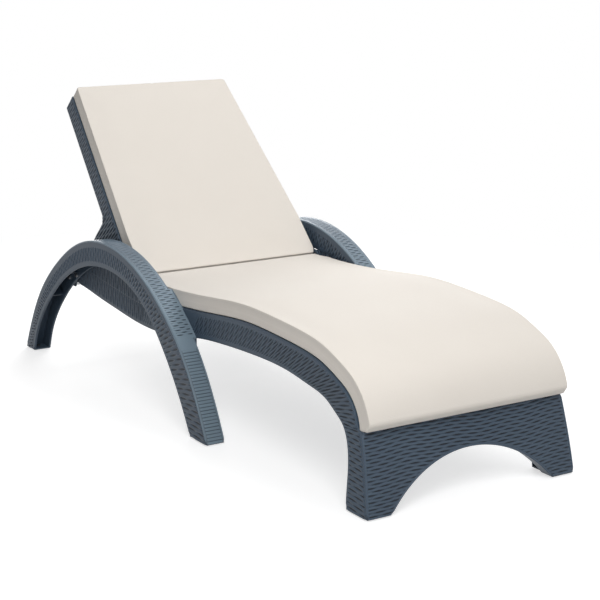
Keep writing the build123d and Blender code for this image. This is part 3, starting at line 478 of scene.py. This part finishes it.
def field(value, low, high, soft):
    """1 inside a field, rounding off to 0 at its two ends."""
    inside = np.clip(np.minimum(value - low, high - value) / soft, 0, 1)
    return inside * inside * (3 - 2 * inside)


def blend_in(value, low, high):
    """Rises smoothly from 0 to 1 between two values."""
    share = np.clip((value - low) / (high - low), 0, 1)
    return share * share * (3 - 2 * share)


print("strands count as full from", full_lift, "m up")

# %% [markdown]
# A woven skin is a fine grid that is laid on the solid's face and lifted by the pattern. It is laid in
# code, since no modifier knows the face's own directions. Its rim sinks into the solid, so no edge of
# the skin stands off. The lift is kept as an attribute, which the resin reads to lay painted shade in the
# gaps.

# %% Woven skins
def dress(piece, body, material):
    """Puts a finished piece on its body, with its finish."""
    piece.data.materials.clear()
    piece.data.materials.append(material)
    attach(piece, body)


def new_grid(name, runs, rows):
    """A flat unit grid, and its two coordinates from 0 to 1."""
    bpy.ops.mesh.primitive_grid_add(x_subdivisions=runs, y_subdivisions=rows, size=1)
    piece = bpy.context.object
    piece.name = name
    flat = np.empty(len(piece.data.vertices) * 3)
    piece.data.vertices.foreach_get("co", flat)
    return piece, flat.reshape(-1, 3)[:, 0] + 0.5, flat.reshape(-1, 3)[:, 1] + 0.5


def woven_skin(name, runs, rows, place, outward, lift, body, painted_light=None):
    """A grid laid by place(along, across), lifted along outward by lift(along, across)."""
    piece, along, across = new_grid(name, runs, rows)
    mesh = piece.data
    height = lift(along, across)
    rim = (np.minimum(along, 1 - along) < 0.2 / runs) | (np.minimum(across, 1 - across) < 0.2 / rows)
    height = np.where(rim, -rim_sink, height)
    normal = np.broadcast_to(outward(along, across), (len(along), 3))
    mesh.vertices.foreach_set("co", (place(along, across) + normal * height[:, None]).ravel())
    # The relief also sets how much painted shade the resin lays into the gaps.
    relief = mesh.attributes.new("relief", "FLOAT", "POINT")
    relief.data.foreach_set("value", np.clip(height / full_lift, 0, 1))
    # The lighter share is painted light, kept as an attribute.
    if painted_light:
        mesh.attributes.new("painted_light", "FLOAT", "POINT").data.foreach_set("value", painted_light(along))
    mesh.update()
    facing = np.empty(len(mesh.polygons) * 3)
    mesh.polygons.foreach_get("normal", facing)
    if (facing.reshape(-1, 3).mean(axis=0) * normal.mean(axis=0)).sum() < 0:
        bpy.ops.object.mode_set(mode="EDIT")
        bpy.ops.mesh.select_all(action="SELECT")
        bpy.ops.mesh.flip_normals()
        bpy.ops.object.mode_set(mode="OBJECT")
    bpy.ops.object.shade_smooth()
    dress(piece, body, woven_resin)
    bpy.ops.object.select_all(action="DESELECT")
    print(name, len(mesh.polygons), "faces")


# %% [markdown]
# Moulded edges are never sharp. A thin round bead laid along each edge rounds it and catches a line of
# light, at far fewer faces than a bevel of the woven skin would need.

# %% Edge beads
def edge_bead(name, points, radius, body, reference=(1.0, 0.0, 0.0), sides=8, spacing=0.012,
              finish=plain_resin):
    """A thin round bead along a line, which rounds a moulded edge. Its ends run out to nothing."""
    points = np.array(points, float)
    lengths = np.concatenate([[0], np.cumsum(np.linalg.norm(np.diff(points, axis=0), axis=1))])
    piece, along, across = new_grid(name, max(10, int(lengths[-1] / spacing)), sides)
    walked = along * lengths[-1]
    runs = np.gradient(points, axis=0)
    centre = np.column_stack([np.interp(walked, lengths, points[:, axis]) for axis in range(3)])
    run = np.column_stack([np.interp(walked, lengths, runs[:, axis]) for axis in range(3)])
    run /= np.linalg.norm(run, axis=1)[:, None]
    first = np.array(reference) - run * (run @ np.array(reference))[:, None]
    first /= np.linalg.norm(first, axis=1)[:, None]
    second = np.cross(run, first)
    thick = radius * np.sqrt(np.clip(np.minimum(walked, lengths[-1] - walked) / (2 * radius), 0, 1))
    turn = 2 * np.pi * across
    spot = centre + (first * np.cos(turn)[:, None] + second * np.sin(turn)[:, None]) * thick[:, None]
    piece.data.vertices.foreach_set("co", spot.ravel())
    piece.data.update()
    bpy.ops.object.mode_set(mode="EDIT")
    bpy.ops.mesh.select_all(action="SELECT")
    bpy.ops.mesh.remove_doubles(threshold=0.00001)
    bpy.ops.mesh.normals_make_consistent(inside=False)
    bpy.ops.object.mode_set(mode="OBJECT")
    bpy.ops.object.shade_smooth()
    dress(piece, body, finish)
    bpy.ops.object.select_all(action="DESELECT")
    print(name, round(lengths[-1], 3), "m long")


def on_side(x, line):
    """A side-view line as points in space, on an upright plane."""
    return np.column_stack([np.full(len(line), x), line])


sides = (("left", 1), ("right", -1))

# %% [markdown]
# Each arm is an arch of one band. The strands of its side faces stand square to the band, between a
# plain border above and a plain rim below, and widen towards the front foot. Counting strands along
# the arch, and not along the floor, keeps them square to it all the way round.

# %% Arms: side faces
arm_inside = 0.322
arm_outside = 0.375
table_size = 1200
share_table = np.linspace(0, 1, table_size)
strand_lift = 0.0036


def strand_count(line, front_pitch, rest_pitch, front_share):
    """How many strands have been passed at each share of a line whose strands narrow from its start."""
    pitches = rest_pitch + (front_pitch - rest_pitch) * (1 - blend_in(share_table, 0, front_share))
    return np.concatenate([[0], np.cumsum(line.length / (table_size - 1) / pitches[1:])])


arm_strands = strand_count(arch_outer, 0.0165, 0.0125, 0.45)


def band_point(x, outer, inner, along, across):
    """A point between two side-view lines, on an upright plane."""
    near, far = outer.at(along), inner.at(along)
    point = near + (far - near) * across[:, None]
    return np.column_stack([np.full(len(along), x), point])


def band_width(outer, inner, along):
    return np.linalg.norm(outer.at(along) - inner.at(along), axis=-1)


def arm_face_lift(along, across):
    """Staggered strands between a plain border and a plain rim."""
    width = band_width(arch_outer, arch_inner, along)
    depth = across * width
    count = np.interp(along, share_table, arm_strands)
    front = 1 - blend_in(along, 0.10, 0.34)
    top_border = 0.0175 - 0.0125 * front - 0.004 * blend_in(along, 0.7, 0.95)
    low_border = 0.0125 - 0.006 * front
    reach = width - top_border - low_border
    slant = count + front * 0.6 * (1 - across) + 1.4 * blend_in(along, 0.60, 0.9) * across
    strands = woven(depth - top_border - reach / 6, slant, reach / 1.5, 1.0)
    plain = np.maximum(1 - blend_in(depth, top_border - 0.002, top_border + 0.003),
                       blend_in(depth, width - low_border - 0.003, width - low_border + 0.002))
    return np.maximum(strand_lift * strands * (1 - plain) + 0.0026 * plain, groove)


for side, hand in sides:
    for face, x, way, share_low, share_high in (("outer", arm_outside, 1, 0.0, 1.0),
                                                ("inner", arm_inside, -1, 0.30, 1.0)):
        reach = share_high - share_low
        woven_skin(f"{side}_arm_{face}_weave", int(1100 * reach), 44,
                   lambda u, v: band_point(hand * x, arch_outer, arch_inner, share_low + u * reach, v),
                   lambda u, v: np.array([[hand * way, 0, 0]]),
                   lambda u, v: arm_face_lift(share_low + u * reach, v), "frame")
    # The outer top edge gets the lighter resin, a painted highlight.
    for edge, x, line, radius, finish in (("outer_top", arm_outside, arch_outer, 0.0030, edge_highlight_resin),
                                          ("outer_low", arm_outside, arch_inner, 0.0026, plain_resin),
                                          ("inner_low", arm_inside, arch_inner, 0.0022, plain_resin)):
        edge_line = on_side(hand * x, line.at(np.linspace(0.002, 0.998, 240)))
        edge_bead(f"{side}_arm_{edge}_edge", edge_line, radius, "frame", finish=finish)

# %% [markdown]
# The arm's top face is what the hand touches. Its strands lie across the arm, in staggered columns.
# Below the rail's junction, which is plain, the front leg carries narrow level ribs. One skin holds all
# three patterns, chosen by height, so that no seam runs across the arm.

# %% Arms: top faces
join_start, join_end, join_inside = -0.0867, 0.0555, 0.3105
ribs_end, patch_end = 0.232, 0.262
top_lift = 0.0026


def arm_top_inside(y):
    """The inner edge of the top face, which reaches over to the rail where the arm joins it."""
    return np.where((y > join_start) & (y < join_end), join_inside, arm_inside)


def arm_top_point(hand, along, across):
    point = arch_outer.at(along)
    inside = arm_top_inside(point[:, 0])
    return np.column_stack([hand * (inside + (arm_outside - inside) * across), point])


def arm_top_out(along, across):
    run = arch_outer.run_at(along)
    return np.column_stack([np.zeros(len(along)), -run[:, 1], run[:, 0]])


def arm_top_lift(along, across):
    """Ribs up the front leg, a plain patch by the rail, then staggered strands."""
    point = arch_outer.at(along)
    front = point[:, 0] < 0
    walked = along * arch_outer.length
    width = arm_outside - arm_top_inside(point[:, 0])
    x = (1 - across) * width
    ribs = top_lift * pillow(walked, 0.0094, 2.6) * field(x, 0.0035, width - 0.0035, 0.002)
    strands = top_lift * woven(x - 0.018, walked, 0.0340, 0.0080, 0.25, 0.32)
    border = np.maximum(1 - blend_in(x, 0.005, 0.009), blend_in(x, width - 0.009, width - 0.005))
    strands = strands * (1 - border) + 0.0024 * border
    patch = 0.0018 * field(x, -0.01, width + 0.01, 0.003)
    low = front & (point[:, 1] < ribs_end)
    plain = front & (point[:, 1] >= ribs_end) & (point[:, 1] < patch_end)
    lift = np.where(low, ribs, np.where(plain, patch, strands))
    edge = np.maximum(field(x, -0.01, 0.0055, 0.0015), field(x, width - 0.0055, width + 0.01, 0.0015))
    return np.maximum(np.maximum(lift, 0.0010 * edge), groove)


top_line = arch_outer.at(np.linspace(0.002, 0.998, 700))
for side, hand in sides:
    # The arm's top is mixed towards the lighter slate, fully on the front leg and partly further up: painted
    # light where light falls on it.
    woven_skin(f"{side}_arm_top_weave", 1300, 30, lambda u, v: arm_top_point(hand, u, v), arm_top_out,
               arm_top_lift, "frame", lambda u: 1 - 0.62 * blend_in(u, 0.26, 0.46))
    inner_line = np.column_stack([hand * arm_top_inside(top_line[:, 0]), top_line])
    # The inner top edge gets the lighter resin, a painted highlight.
    edge_bead(f"{side}_arm_inner_top_edge", inner_line, 0.0026, "frame", spacing=0.008, finish=edge_highlight_resin)

# %% [markdown]
# The side panel is one long band: it comes down the front leg, runs under the seat and carries on
# behind the arm. First its outline is drawn: the deck's line above, the curve of the front foot, and
# the rail's underside.

# %% Side panels: outline
panel_face = 0.310
knee_height = 0.209
foot_flare = 0.014
front_lean = 0.050
deck_line = SmoothLine.through(under_seat(0.0526)[::-1])
front_curve = SmoothLine([(-half_length + front_lean + 0.0043, knee_height),
                          (-half_length + front_lean * 0.42 + 0.0043, (sole + knee_height) / 2),
                          (-half_length + 0.0043 + 0.008, 0.05),
                          (-half_length + 0.0043, sole)])
keep = deck_line.points[:, 0] < 0.195
upper_edge = SmoothLine.through(np.concatenate([deck_line.points[keep], front_curve.points[1:]]))
keep = rail_low.points[:, 0] < 0.235
lower_edge = SmoothLine.through(rail_low.points[keep][::-1])
print("rail", round(upper_edge.length, 3), "m above,", round(lower_edge.length, 3), "m below")

# %% [markdown]
# The panel's strands stand square to the band, in staggered rows between plain borders. Behind the
# arm the panel is tall and its strands stand upright, so that part is a second skin of its own.

# %% Side panels: skins
rail_strands = strand_count(upper_edge, 0.0125, 0.0120, 0.5)
rear_start, rear_end = 0.705, 0.985


def flared(hand, point):
    """Points of the side view on the panel's outer face, which flares out below the knee."""
    flare = np.clip((knee_height - point[:, 1]) / knee_height, 0, 1) * foot_flare
    return np.column_stack([hand * (panel_face + flare), point])


def rail_point(hand, along, across):
    near, far = upper_edge.at(along), lower_edge.at(along)
    return flared(hand, near + (far - near) * across[:, None])


def rail_lift(along, across):
    """Staggered strands between plain borders, with a plain part beside the arm."""
    width = band_width(upper_edge, lower_edge, along)
    depth = across * width
    top_border = 0.0025 + 0.0080 * (1 - blend_in(along, 0.50, 0.85))
    low_border = 0.0035 + 0.0110 * (1 - blend_in(along, 0.45, 0.80))
    reach = width - top_border - low_border
    count = np.interp(along, share_table, rail_strands)
    count = count + 0.55 * across * blend_in(along, 0.4, 0.7)
    strands = woven(depth - top_border, count, reach / 1.4, 1.0)
    plain = np.maximum(1 - blend_in(depth, top_border - 0.001, top_border + 0.004),
                       blend_in(depth, width - low_border - 0.004, width - low_border + 0.001))
    plain = np.maximum(plain, field(upper_edge.at(along)[:, 0], -0.110, 0.060, 0.010))
    return np.maximum(strand_lift * strands * (1 - plain) + 0.0023 * plain, groove)


def rear_point(hand, along, across):
    """From the panel's underside up to a line that the arm hides."""
    low = rail_low.at(rear_start + along * (rear_end - rear_start))
    span = rear_top.points[-1, 0] - rear_top.points[0, 0]
    high = rear_top.at(np.clip((low[:, 0] - rear_top.points[0, 0]) / span, 0, 1))
    high[:, 0] = low[:, 0]
    return flared(hand, low + (high - low) * across[:, None])


def rear_lift(along, across):
    """Upright strands in staggered rows under a raised line that follows the panel's underside."""
    point = rear_point(1, along, across)
    low = rail_low.at(rear_start + along * (rear_end - rear_start))[:, 1]
    rise = point[:, 2] - low
    strands = woven(rise - 0.010, point[:, 1], 0.056, 0.0122)
    plain = 1 - blend_in(rise, 0.006, 0.011)
    lift = 0.0034 * strands * (1 - plain) + 0.0022 * plain
    return np.maximum(np.maximum(lift, 0.0026 * field(rise, 0.057, 0.0645, 0.003)), groove)


for side, hand in sides:
    woven_skin(f"{side}_rail_weave", 1000, 54, lambda u, v: rail_point(hand, u, v),
               lambda u, v: np.array([[hand, 0, 0]]), rail_lift, "frame")
    woven_skin(f"{side}_rear_panel_weave", 340, 90, lambda u, v: rear_point(hand, u, v),
               lambda u, v: np.array([[hand, 0, 0]]), rear_lift, "frame")
    top_edge = upper_edge.at(np.linspace(0, 0.998, 260))
    low_edge = rail_low.at(np.linspace(0.002, 0.985, 260))
    edge_bead(f"{side}_rail_top_edge", flared(hand, top_edge), 0.0020, "frame")
    edge_bead(f"{side}_rail_low_edge", flared(hand, low_edge), 0.0024, "frame")

# %% [markdown]
# The front end panel closes the foot end between the two legs. Its strands lie level, in wavy rows,
# and a low arch is cut out of it. The skin's lowest row follows the arch, so the cut-out needs no
# boolean and its rim stays smooth. A plain rim follows it, and both corners have a ridge.

# %% Front end panel
def front_profile(height):
    """How far back the front face leans at a height."""
    middle = (sole + knee_height) / 2
    at_middle, at_top = front_lean * 0.42, front_lean
    return (at_middle * (height - sole) * (height - knee_height) / ((middle - sole) * (middle - knee_height))
            + at_top * (height - sole) * (height - middle) / ((knee_height - sole) * (knee_height - middle)))


def front_spot(x, height):
    return np.column_stack([x, -half_length + front_profile(height), height])


cutout_span = 0.255
cutout_top = 0.126
cutout_radius = (cutout_span ** 2 + (cutout_top - sole) ** 2) / (2 * (cutout_top - sole))


def cutout_arc(x):
    return np.sqrt(np.maximum(cutout_radius ** 2 - x ** 2, 0)) - cutout_radius + cutout_top


def panel_side(height):
    """Half the front panel's width at a height."""
    return panel_face + np.clip((knee_height - height) / knee_height, 0, 1) * foot_flare


def front_point(along, across):
    widest = panel_face + foot_flare
    x = (2 * along - 1) * widest
    low = np.maximum(sole, cutout_arc(x) + 0.0005)
    height = low + (knee_height - low) * across
    return front_spot(x * panel_side(height) / widest, height)


def front_lift(along, across):
    """Wavy level rows of staggered strands."""
    point = front_point(along, across)
    x, height = point[:, 0], point[:, 2]
    wave = height + 0.0045 * np.sin(x / 0.085 + 0.6) + 0.0012 * np.sin(x / 0.024)
    lift = 0.0032 * woven(x + 0.01, wave, 0.046, 0.0083)
    side_edge = panel_side(height) - np.abs(x)
    arc_edge = height - cutout_arc(x) + 1.0 * (np.abs(x) > cutout_span)
    edge = np.maximum(field(side_edge, -0.01, 0.005, 0.002), field(arc_edge, -0.01, 0.0055, 0.002))
    edge = np.maximum(edge, field(knee_height - height, -0.01, 0.004, 0.002))
    return np.maximum(lift * (1 - edge) + 0.0016 * edge, groove)


woven_skin("front_panel_weave", 320, 200, front_point, lambda u, v: np.array([[0, -1.0, 0.0]]),
           front_lift, "frame")
heights = np.linspace(sole + 0.001, knee_height - 0.001, 40)
for side, hand in sides:
    edge_bead(f"{side}_front_corner_edge", front_spot(hand * panel_side(heights), heights), 0.0032, "frame")
arc_x = np.linspace(-cutout_span + 0.001, cutout_span - 0.001, 160)
cutout_edge = front_spot(arc_x, np.maximum(cutout_arc(arc_x), sole))
edge_bead("front_cutout_edge", cutout_edge, 0.0026, "frame", (0.0, 1.0, 0.0))
top_x = np.linspace(-panel_face, panel_face, 60)
top_edge = front_spot(top_x, np.full(60, knee_height))
edge_bead("front_panel_top_edge", top_edge, 0.0018, "frame", (0.0, 1.0, 0.0))

# %% [markdown]
# The back turns about its hinge, so it has directions of its own: along it and square to it. Points
# given that way are easy to write and are turned into the shared frame at the very end.

# %% The back's directions
hinge = np.array([0.244, 0.362054])
recline = np.radians(44.6)
lean = np.array([np.cos(recline), np.sin(recline)])
face_way = np.array([-np.sin(recline), np.cos(recline)])
back_length = 0.708
cheek_half = 0.3025
back_narrowing = 0.038
taper_start = 0.144
frame_front = -0.0413
frame_rear = -0.0993
lobe_reach = 0.274
lobe_depth = 0.218
lobe_corner = 0.026
lobe_neck = 0.016
heel = np.array([-0.014, frame_front - 0.014])
tip = np.array([lobe_reach - lobe_corner, -lobe_depth])
lobe_radius = ((tip[0] - heel[0]) ** 2 + (heel[1] - tip[1]) ** 2) / (2 * (heel[1] - tip[1]))


def back_half(along):
    taper = np.clip((along - taper_start) / (back_length - taper_start), 0, 1)
    return cheek_half - taper * back_narrowing


def back_point(hand, along, depth):
    """A point given along the back and square to it, on a cheek's outer face."""
    place = hinge + along[:, None] * lean + depth[:, None] * face_way
    return np.column_stack([hand * back_half(along), place])


print("back", back_length, "m long, leaning", round(float(np.degrees(recline)), 1), "degrees")


# %% [markdown]
# The back's cheeks taper towards the top, and each has a lobe that swings down behind the arm. Their
# strands stand square to the back. The lobe and the straight part above it are two skins, because one
# grid over both would be pinched at the neck between them.

# %% Back cheeks
join_lap = 0.0005
lobe_start = -0.012


def lobe_low(along):
    """The lower edge of the lobe."""
    arc = -lobe_depth + lobe_radius - np.sqrt(np.maximum(lobe_radius ** 2 - (along - tip[0]) ** 2, 0))
    corner = -lobe_depth + lobe_corner - np.sqrt(np.maximum(lobe_corner ** 2 - (along - tip[0]) ** 2, 0))
    return np.where(along < tip[0], arc, corner)


def cheek_place(part, u, v):
    if part == "lobe":
        along = lobe_start + u * (lobe_reach - join_lap - lobe_start)
        low = lobe_low(along)
    else:
        along = lobe_reach - join_lap + u * (back_length - lobe_reach + join_lap)
        low = frame_rear - np.clip(lobe_reach + lobe_neck - along, 0, lobe_neck)
    return along, low + (frame_front - low) * v, low


def cheek_lift(part, u, v):
    along, depth, low = cheek_place(part, u, v)
    lift = 0.0034 * woven(frame_front - depth - 0.006, along + 0.10 * depth, 0.046, 0.0100)
    edge = np.maximum(field(depth - low, -0.01, 0.005, 0.002), field(frame_front - depth, -0.01, 0.004, 0.002))
    return np.maximum(lift * (1 - edge) + 0.0016 * edge, groove)


lobe_line = np.linspace(lobe_start, lobe_reach - 0.0004, 120)
rear_along = np.concatenate([lobe_line, [lobe_reach, lobe_reach + lobe_neck, back_length]])
rear_depth = np.concatenate([lobe_low(lobe_line), [frame_rear - lobe_neck, frame_rear, frame_rear]])
for side, hand in sides:
    for part, runs, rows in (("lobe", 190, 110), ("upper", 290, 40)):
        woven_skin(f"{side}_cheek_{part}_weave", runs, rows,
                   lambda u, v: back_point(hand, *cheek_place(part, u, v)[:2]),
                   lambda u, v: np.array([[hand, 0, 0]]),
                   lambda u, v: cheek_lift(part, u, v), "backrest")
    along = np.linspace(0.0, back_length - 0.001, 90)
    front_edge = back_point(hand, along, np.full(90, frame_front))
    edge_bead(f"{side}_cheek_front_edge", front_edge, 0.0020, "backrest")
    edge_bead(f"{side}_cheek_rear_edge", back_point(hand, rear_along, rear_depth), 0.0009, "backrest",
              spacing=0.006)


# %% [markdown]
# The cushions are boxed pads: a flat face above and below, a narrow band round the side, and crisp
# edges. Each starts as a cube whose cuts crowd towards its edges, which are rounded at true size.

# %% Crisp pads
cushion_thickness = 0.048
cushion_inset = 0.0015
pad_cuts = 72
cut_crowding = 1.6
pad_edge = 0.004


def pad_block(name, size, edge, place):
    """A cube cut fine, with its edges rounded at true size, then laid by place(along, across, height)."""
    bpy.ops.mesh.primitive_cube_add(size=1)
    piece = bpy.context.object
    piece.name = name
    bpy.ops.object.mode_set(mode="EDIT")
    bpy.ops.mesh.select_all(action="SELECT")
    bpy.ops.mesh.subdivide(number_cuts=pad_cuts)
    bpy.ops.object.mode_set(mode="OBJECT")
    flat = np.empty(len(piece.data.vertices) * 3)
    piece.data.vertices.foreach_get("co", flat)
    unit = flat.reshape(-1, 3)
    unit = np.sign(unit) * 0.5 * (1 - (1 - 2 * np.abs(unit)) ** cut_crowding)
    box = unit * size
    core = np.clip(box, edge - np.array(size) / 2, np.array(size) / 2 - edge)
    reach = box - core
    length = np.linalg.norm(reach, axis=1)
    box = core + reach * (edge / np.maximum(length, edge))[:, None]
    piece.data.vertices.foreach_set("co", place(box).ravel())
    piece.data.update()
    bpy.ops.object.mode_set(mode="EDIT")
    bpy.ops.mesh.select_all(action="SELECT")
    bpy.ops.mesh.normals_make_consistent(inside=False)
    bpy.ops.object.mode_set(mode="OBJECT")
    return piece, box


print("pads", cushion_thickness * 1000, "mm thick, edges rounded by", pad_edge * 1000, "mm")

# %% [markdown]
# A flat pad is laid on the lounger by giving each of its points a new place. The seat's pad is bent over
# the seat's line, and its end turns down a little past it in a lip. The back's pad leans and tapers.

# %% Where the pads lie
seat_pad_half = 0.311
back_pad_half = 0.302
back_pad_start = 0.0058
back_pad_rest = -0.041
foot_reach = 0.0085
lip_start = 0.011
lip_slope = 0.95


def seat_half(distance):
    """Half the seat cushion's width, a little narrower in its last part beside the back's cheeks."""
    return seat_pad_half - 0.0145 * np.clip((distance - (seat_top.length - 0.055)) / 0.035, 0, 1)


def lay_on_seat(box):
    """Bends a flat pad over the seat's top line."""
    length = seat_top.length
    walked = box[:, 0] + length / 2 - foot_reach / 2
    along = np.clip(walked / length, 0, 1)
    point, run = seat_top.at(along), seat_top.run_at(along)
    point = point + run * np.minimum(walked, 0)[:, None]
    depth = cushion_thickness / 2 - box[:, 2]
    depth += lip_slope * np.clip(lip_start - walked, 0, 1) * (1 - depth / cushion_thickness)
    half = seat_half(walked) / seat_pad_half
    spot = point + depth[:, None] * np.column_stack([run[:, 1], -run[:, 0]])
    return np.column_stack([box[:, 1] * half, spot])


def lay_on_back(box):
    """Leans a flat pad on the back and tapers it."""
    middle = (back_pad_start + back_length) / 2
    along = box[:, 0] + middle
    taper = np.clip((along - taper_start) / (back_length - taper_start), 0, 1)
    fold = 0.0055 * np.clip((0.03 - along) / 0.024, 0, 1)
    half = (back_pad_half - back_narrowing * taper - fold) / back_pad_half
    depth = back_pad_rest + cushion_thickness / 2 + box[:, 2]
    spot = hinge + along[:, None] * lean + depth[:, None] * face_way
    return np.column_stack([box[:, 1] * half, spot])


print("seat pad half", seat_pad_half, "m wide, back pad half", back_pad_half, "m")

# %% [markdown]
# Stuffing makes the top swell. A cloth simulation with a little air pressure finds that shape, but it
# needs an even mesh, which would blur the crisp edges. So an evenly meshed copy is blown up, and its
# swelling is handed on to the crisp pad, capped, and held back at the seams and underneath.

# %% Swelling
air_pressure = 4
last_frame = 20
near_points = 6


def air_swelling(piece, voxel):
    """Blows up an evenly meshed copy of the piece. Returns its points and how far each has moved."""
    bpy.ops.object.select_all(action="DESELECT")
    piece.select_set(True)
    bpy.context.view_layer.objects.active = piece
    bpy.ops.object.duplicate()
    trial = bpy.context.object
    trial.data = trial.data.copy()
    remesh = trial.modifiers.new("even_mesh", "REMESH")
    remesh.mode = "VOXEL"
    remesh.voxel_size = voxel
    bpy.ops.object.modifier_apply(modifier="even_mesh")
    start = np.empty(len(trial.data.vertices) * 3)
    trial.data.vertices.foreach_get("co", start)
    cloth = trial.modifiers.new("air", "CLOTH")
    cloth.settings.use_pressure = True
    cloth.settings.uniform_pressure_force = air_pressure
    cloth.settings.effector_weights.gravity = 0
    for moment in range(1, last_frame + 1):
        bpy.context.scene.frame_set(moment)
    bpy.ops.object.modifier_apply(modifier="air")
    bpy.context.scene.frame_set(1)
    end = np.empty(len(start))
    trial.data.vertices.foreach_get("co", end)
    bpy.data.objects.remove(trial)
    return start.reshape(-1, 3), (end - start).reshape(-1, 3)


def stuff(piece, voxel, cap, freedom):
    """Gives the piece the swelling of its blown up copy, held back at its seams and where it rests."""
    mesh = piece.data
    spot = np.empty(len(mesh.vertices) * 3)
    mesh.vertices.foreach_get("co", spot)
    spot = spot.reshape(-1, 3)
    start, move = air_swelling(piece, voxel)
    length = np.linalg.norm(move, axis=1)
    print(piece.name, "swelled by up to", round(length.max() * 1000, 1), "mm on", len(start), "points")
    move *= (cap / np.maximum(length, cap))[:, None]
    tree = KDTree(len(start))
    for index, point in enumerate(start):
        tree.insert(point, index)
    tree.balance()
    for index, point in enumerate(spot):
        near = tree.find_n(point, near_points)
        weights = np.array([1 / (found[2] + voxel / 4) for found in near])
        shift = weights @ move[[found[1] for found in near]] / weights.sum()
        spot[index] += shift * freedom[index]
    mesh.vertices.foreach_set("co", spot.ravel())
    mesh.update()
    bpy.context.view_layer.objects.active = piece
    piece.select_set(True)
    bpy.ops.object.shade_smooth()
    bpy.ops.object.select_all(action="DESELECT")


def seam_freedom(box, size):
    """How free each point is to swell: not at all along the seams and below, fully on the top's middle."""
    inward = np.array(size) / 2 - np.abs(box)
    height = box[:, 2] / size[2] + 0.5
    from_seam = blend_in(np.minimum(inward[:, 0], inward[:, 1]), 0.0, 0.10)
    return np.maximum(from_seam, 0.15 * (1 - np.abs(2 * height - 1))) * blend_in(height, 0.1, 0.6)


print("air pressure", air_pressure, "over", last_frame, "frames")

# %% [markdown]
# A seam runs round each cushion where its top meets its side. It is a thin bead of the same cloth, laid
# just inside the pad's rounded edge. Then both cushions are made and take the place of their solids.

# %% Both cushions
seam_depth = 0.0012
seam_radius = 0.0011
swelling_cap = 0.006


def seam_ring(size, place, foot_step):
    """The line of the seam round a pad's top. At the foot end it lies back a step."""
    half = np.array(size[:2]) / 2 - seam_depth
    corners = half * np.array([[1, 0], [1, 1], [-1, 1], [-1, -1], [1, -1], [1, 0]])
    flat = np.concatenate([np.linspace(a, b, 120, endpoint=False) for a, b in zip(corners[:-1], corners[1:])])
    inner = np.clip(flat, -half + pad_edge, half - pad_edge)
    reach = flat - inner
    length = np.linalg.norm(reach, axis=1)[:, None]
    flat = inner + reach * pad_edge / np.maximum(length, pad_edge)
    flat[:, 0] = np.maximum(flat[:, 0], foot_step - half[0])
    return place(np.column_stack([flat, np.full(len(flat), size[2] / 2 - seam_depth)]))


pad_height = cushion_thickness - 2 * cushion_inset
seat_pad = (seat_top.length + foot_reach - 2 * cushion_inset, 2 * seat_pad_half - 2 * cushion_inset,
            pad_height)
back_pad = (back_length - back_pad_start - 2 * cushion_inset, 2 * back_pad_half - 2 * cushion_inset,
            pad_height)
for name, size, place, voxel, foot_step, body in (
        ("seat_cushion", seat_pad, lay_on_seat, 0.0075, foot_reach + lip_start, "frame"),
        ("back_cushion", back_pad, lay_on_back, 0.006, 0, "backrest")):
    pad, box = pad_block(f"{name}_soft", size, pad_edge, place)
    stuff(pad, voxel, swelling_cap, seam_freedom(box, size))
    dress(pad, body, cream_cloth)
    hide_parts(name)
    edge_bead(f"{name}_seam", seam_ring(size, place, foot_step), seam_radius, body, (0.35, -0.8, 0.5), 6,
              0.008, cream_cloth)
    print(pad.name, len(pad.data.polygons), "faces")


# %% [markdown]
# The lounger stands on a plain pale floor, which takes the soft shadow under the frame. Towards the
# camera it glows a little, so that it looks white without more light on the lounger, and further out
# it fades to plain white, so that it runs into the background without an edge.

# %% Floor
floor_size = 40
fade_start, fade_end = 1.3, 2.6
floor_glow = 0.62
bpy.ops.mesh.primitive_plane_add(size=floor_size)
floor = bpy.context.object
floor.name = "pale_floor"
floor_finish = Finish(bpy.data.materials.new("floor_paint"))
floor_finish.set(Base_Color=(0.60, 0.60, 0.60, 1), Roughness=0.9)
seen = seen_as_backdrop(floor_finish)
floor_finish.set(Emission_Color=seen)
floor_finish.surface.inputs["Emission Strength"].default_value = floor_glow
place = floor_finish.node("ShaderNodeTexCoord", output="Object")
far = floor_finish.node("ShaderNodeVectorMath", {"operation": "LENGTH"}, {0: place}, output=1)
fade = floor_finish.node("ShaderNodeMapRange", {"interpolation_type": "SMOOTHSTEP"},
                         {"Value": far, "From Min": fade_start, "From Max": fade_end,
                          "To Min": 0.0, "To Max": 1.0})
glow = floor_finish.node("ShaderNodeEmission", {}, {"Color": (1, 1, 1, 1), "Strength": 1.0})
paint = Value(floor_finish, floor_finish.surface.outputs[0])
mixed = floor_finish.node("ShaderNodeMixShader", {}, {0: fade * seen, 1: paint, 2: glow})
floor_finish.feed(floor_finish.nodes["Material Output"].inputs["Surface"], mixed)
floor.data.materials.append(floor_finish.owner)
bpy.ops.object.select_all(action="DESELECT")
print("floor", floor_size, "m wide, white from", fade_end, "m out")
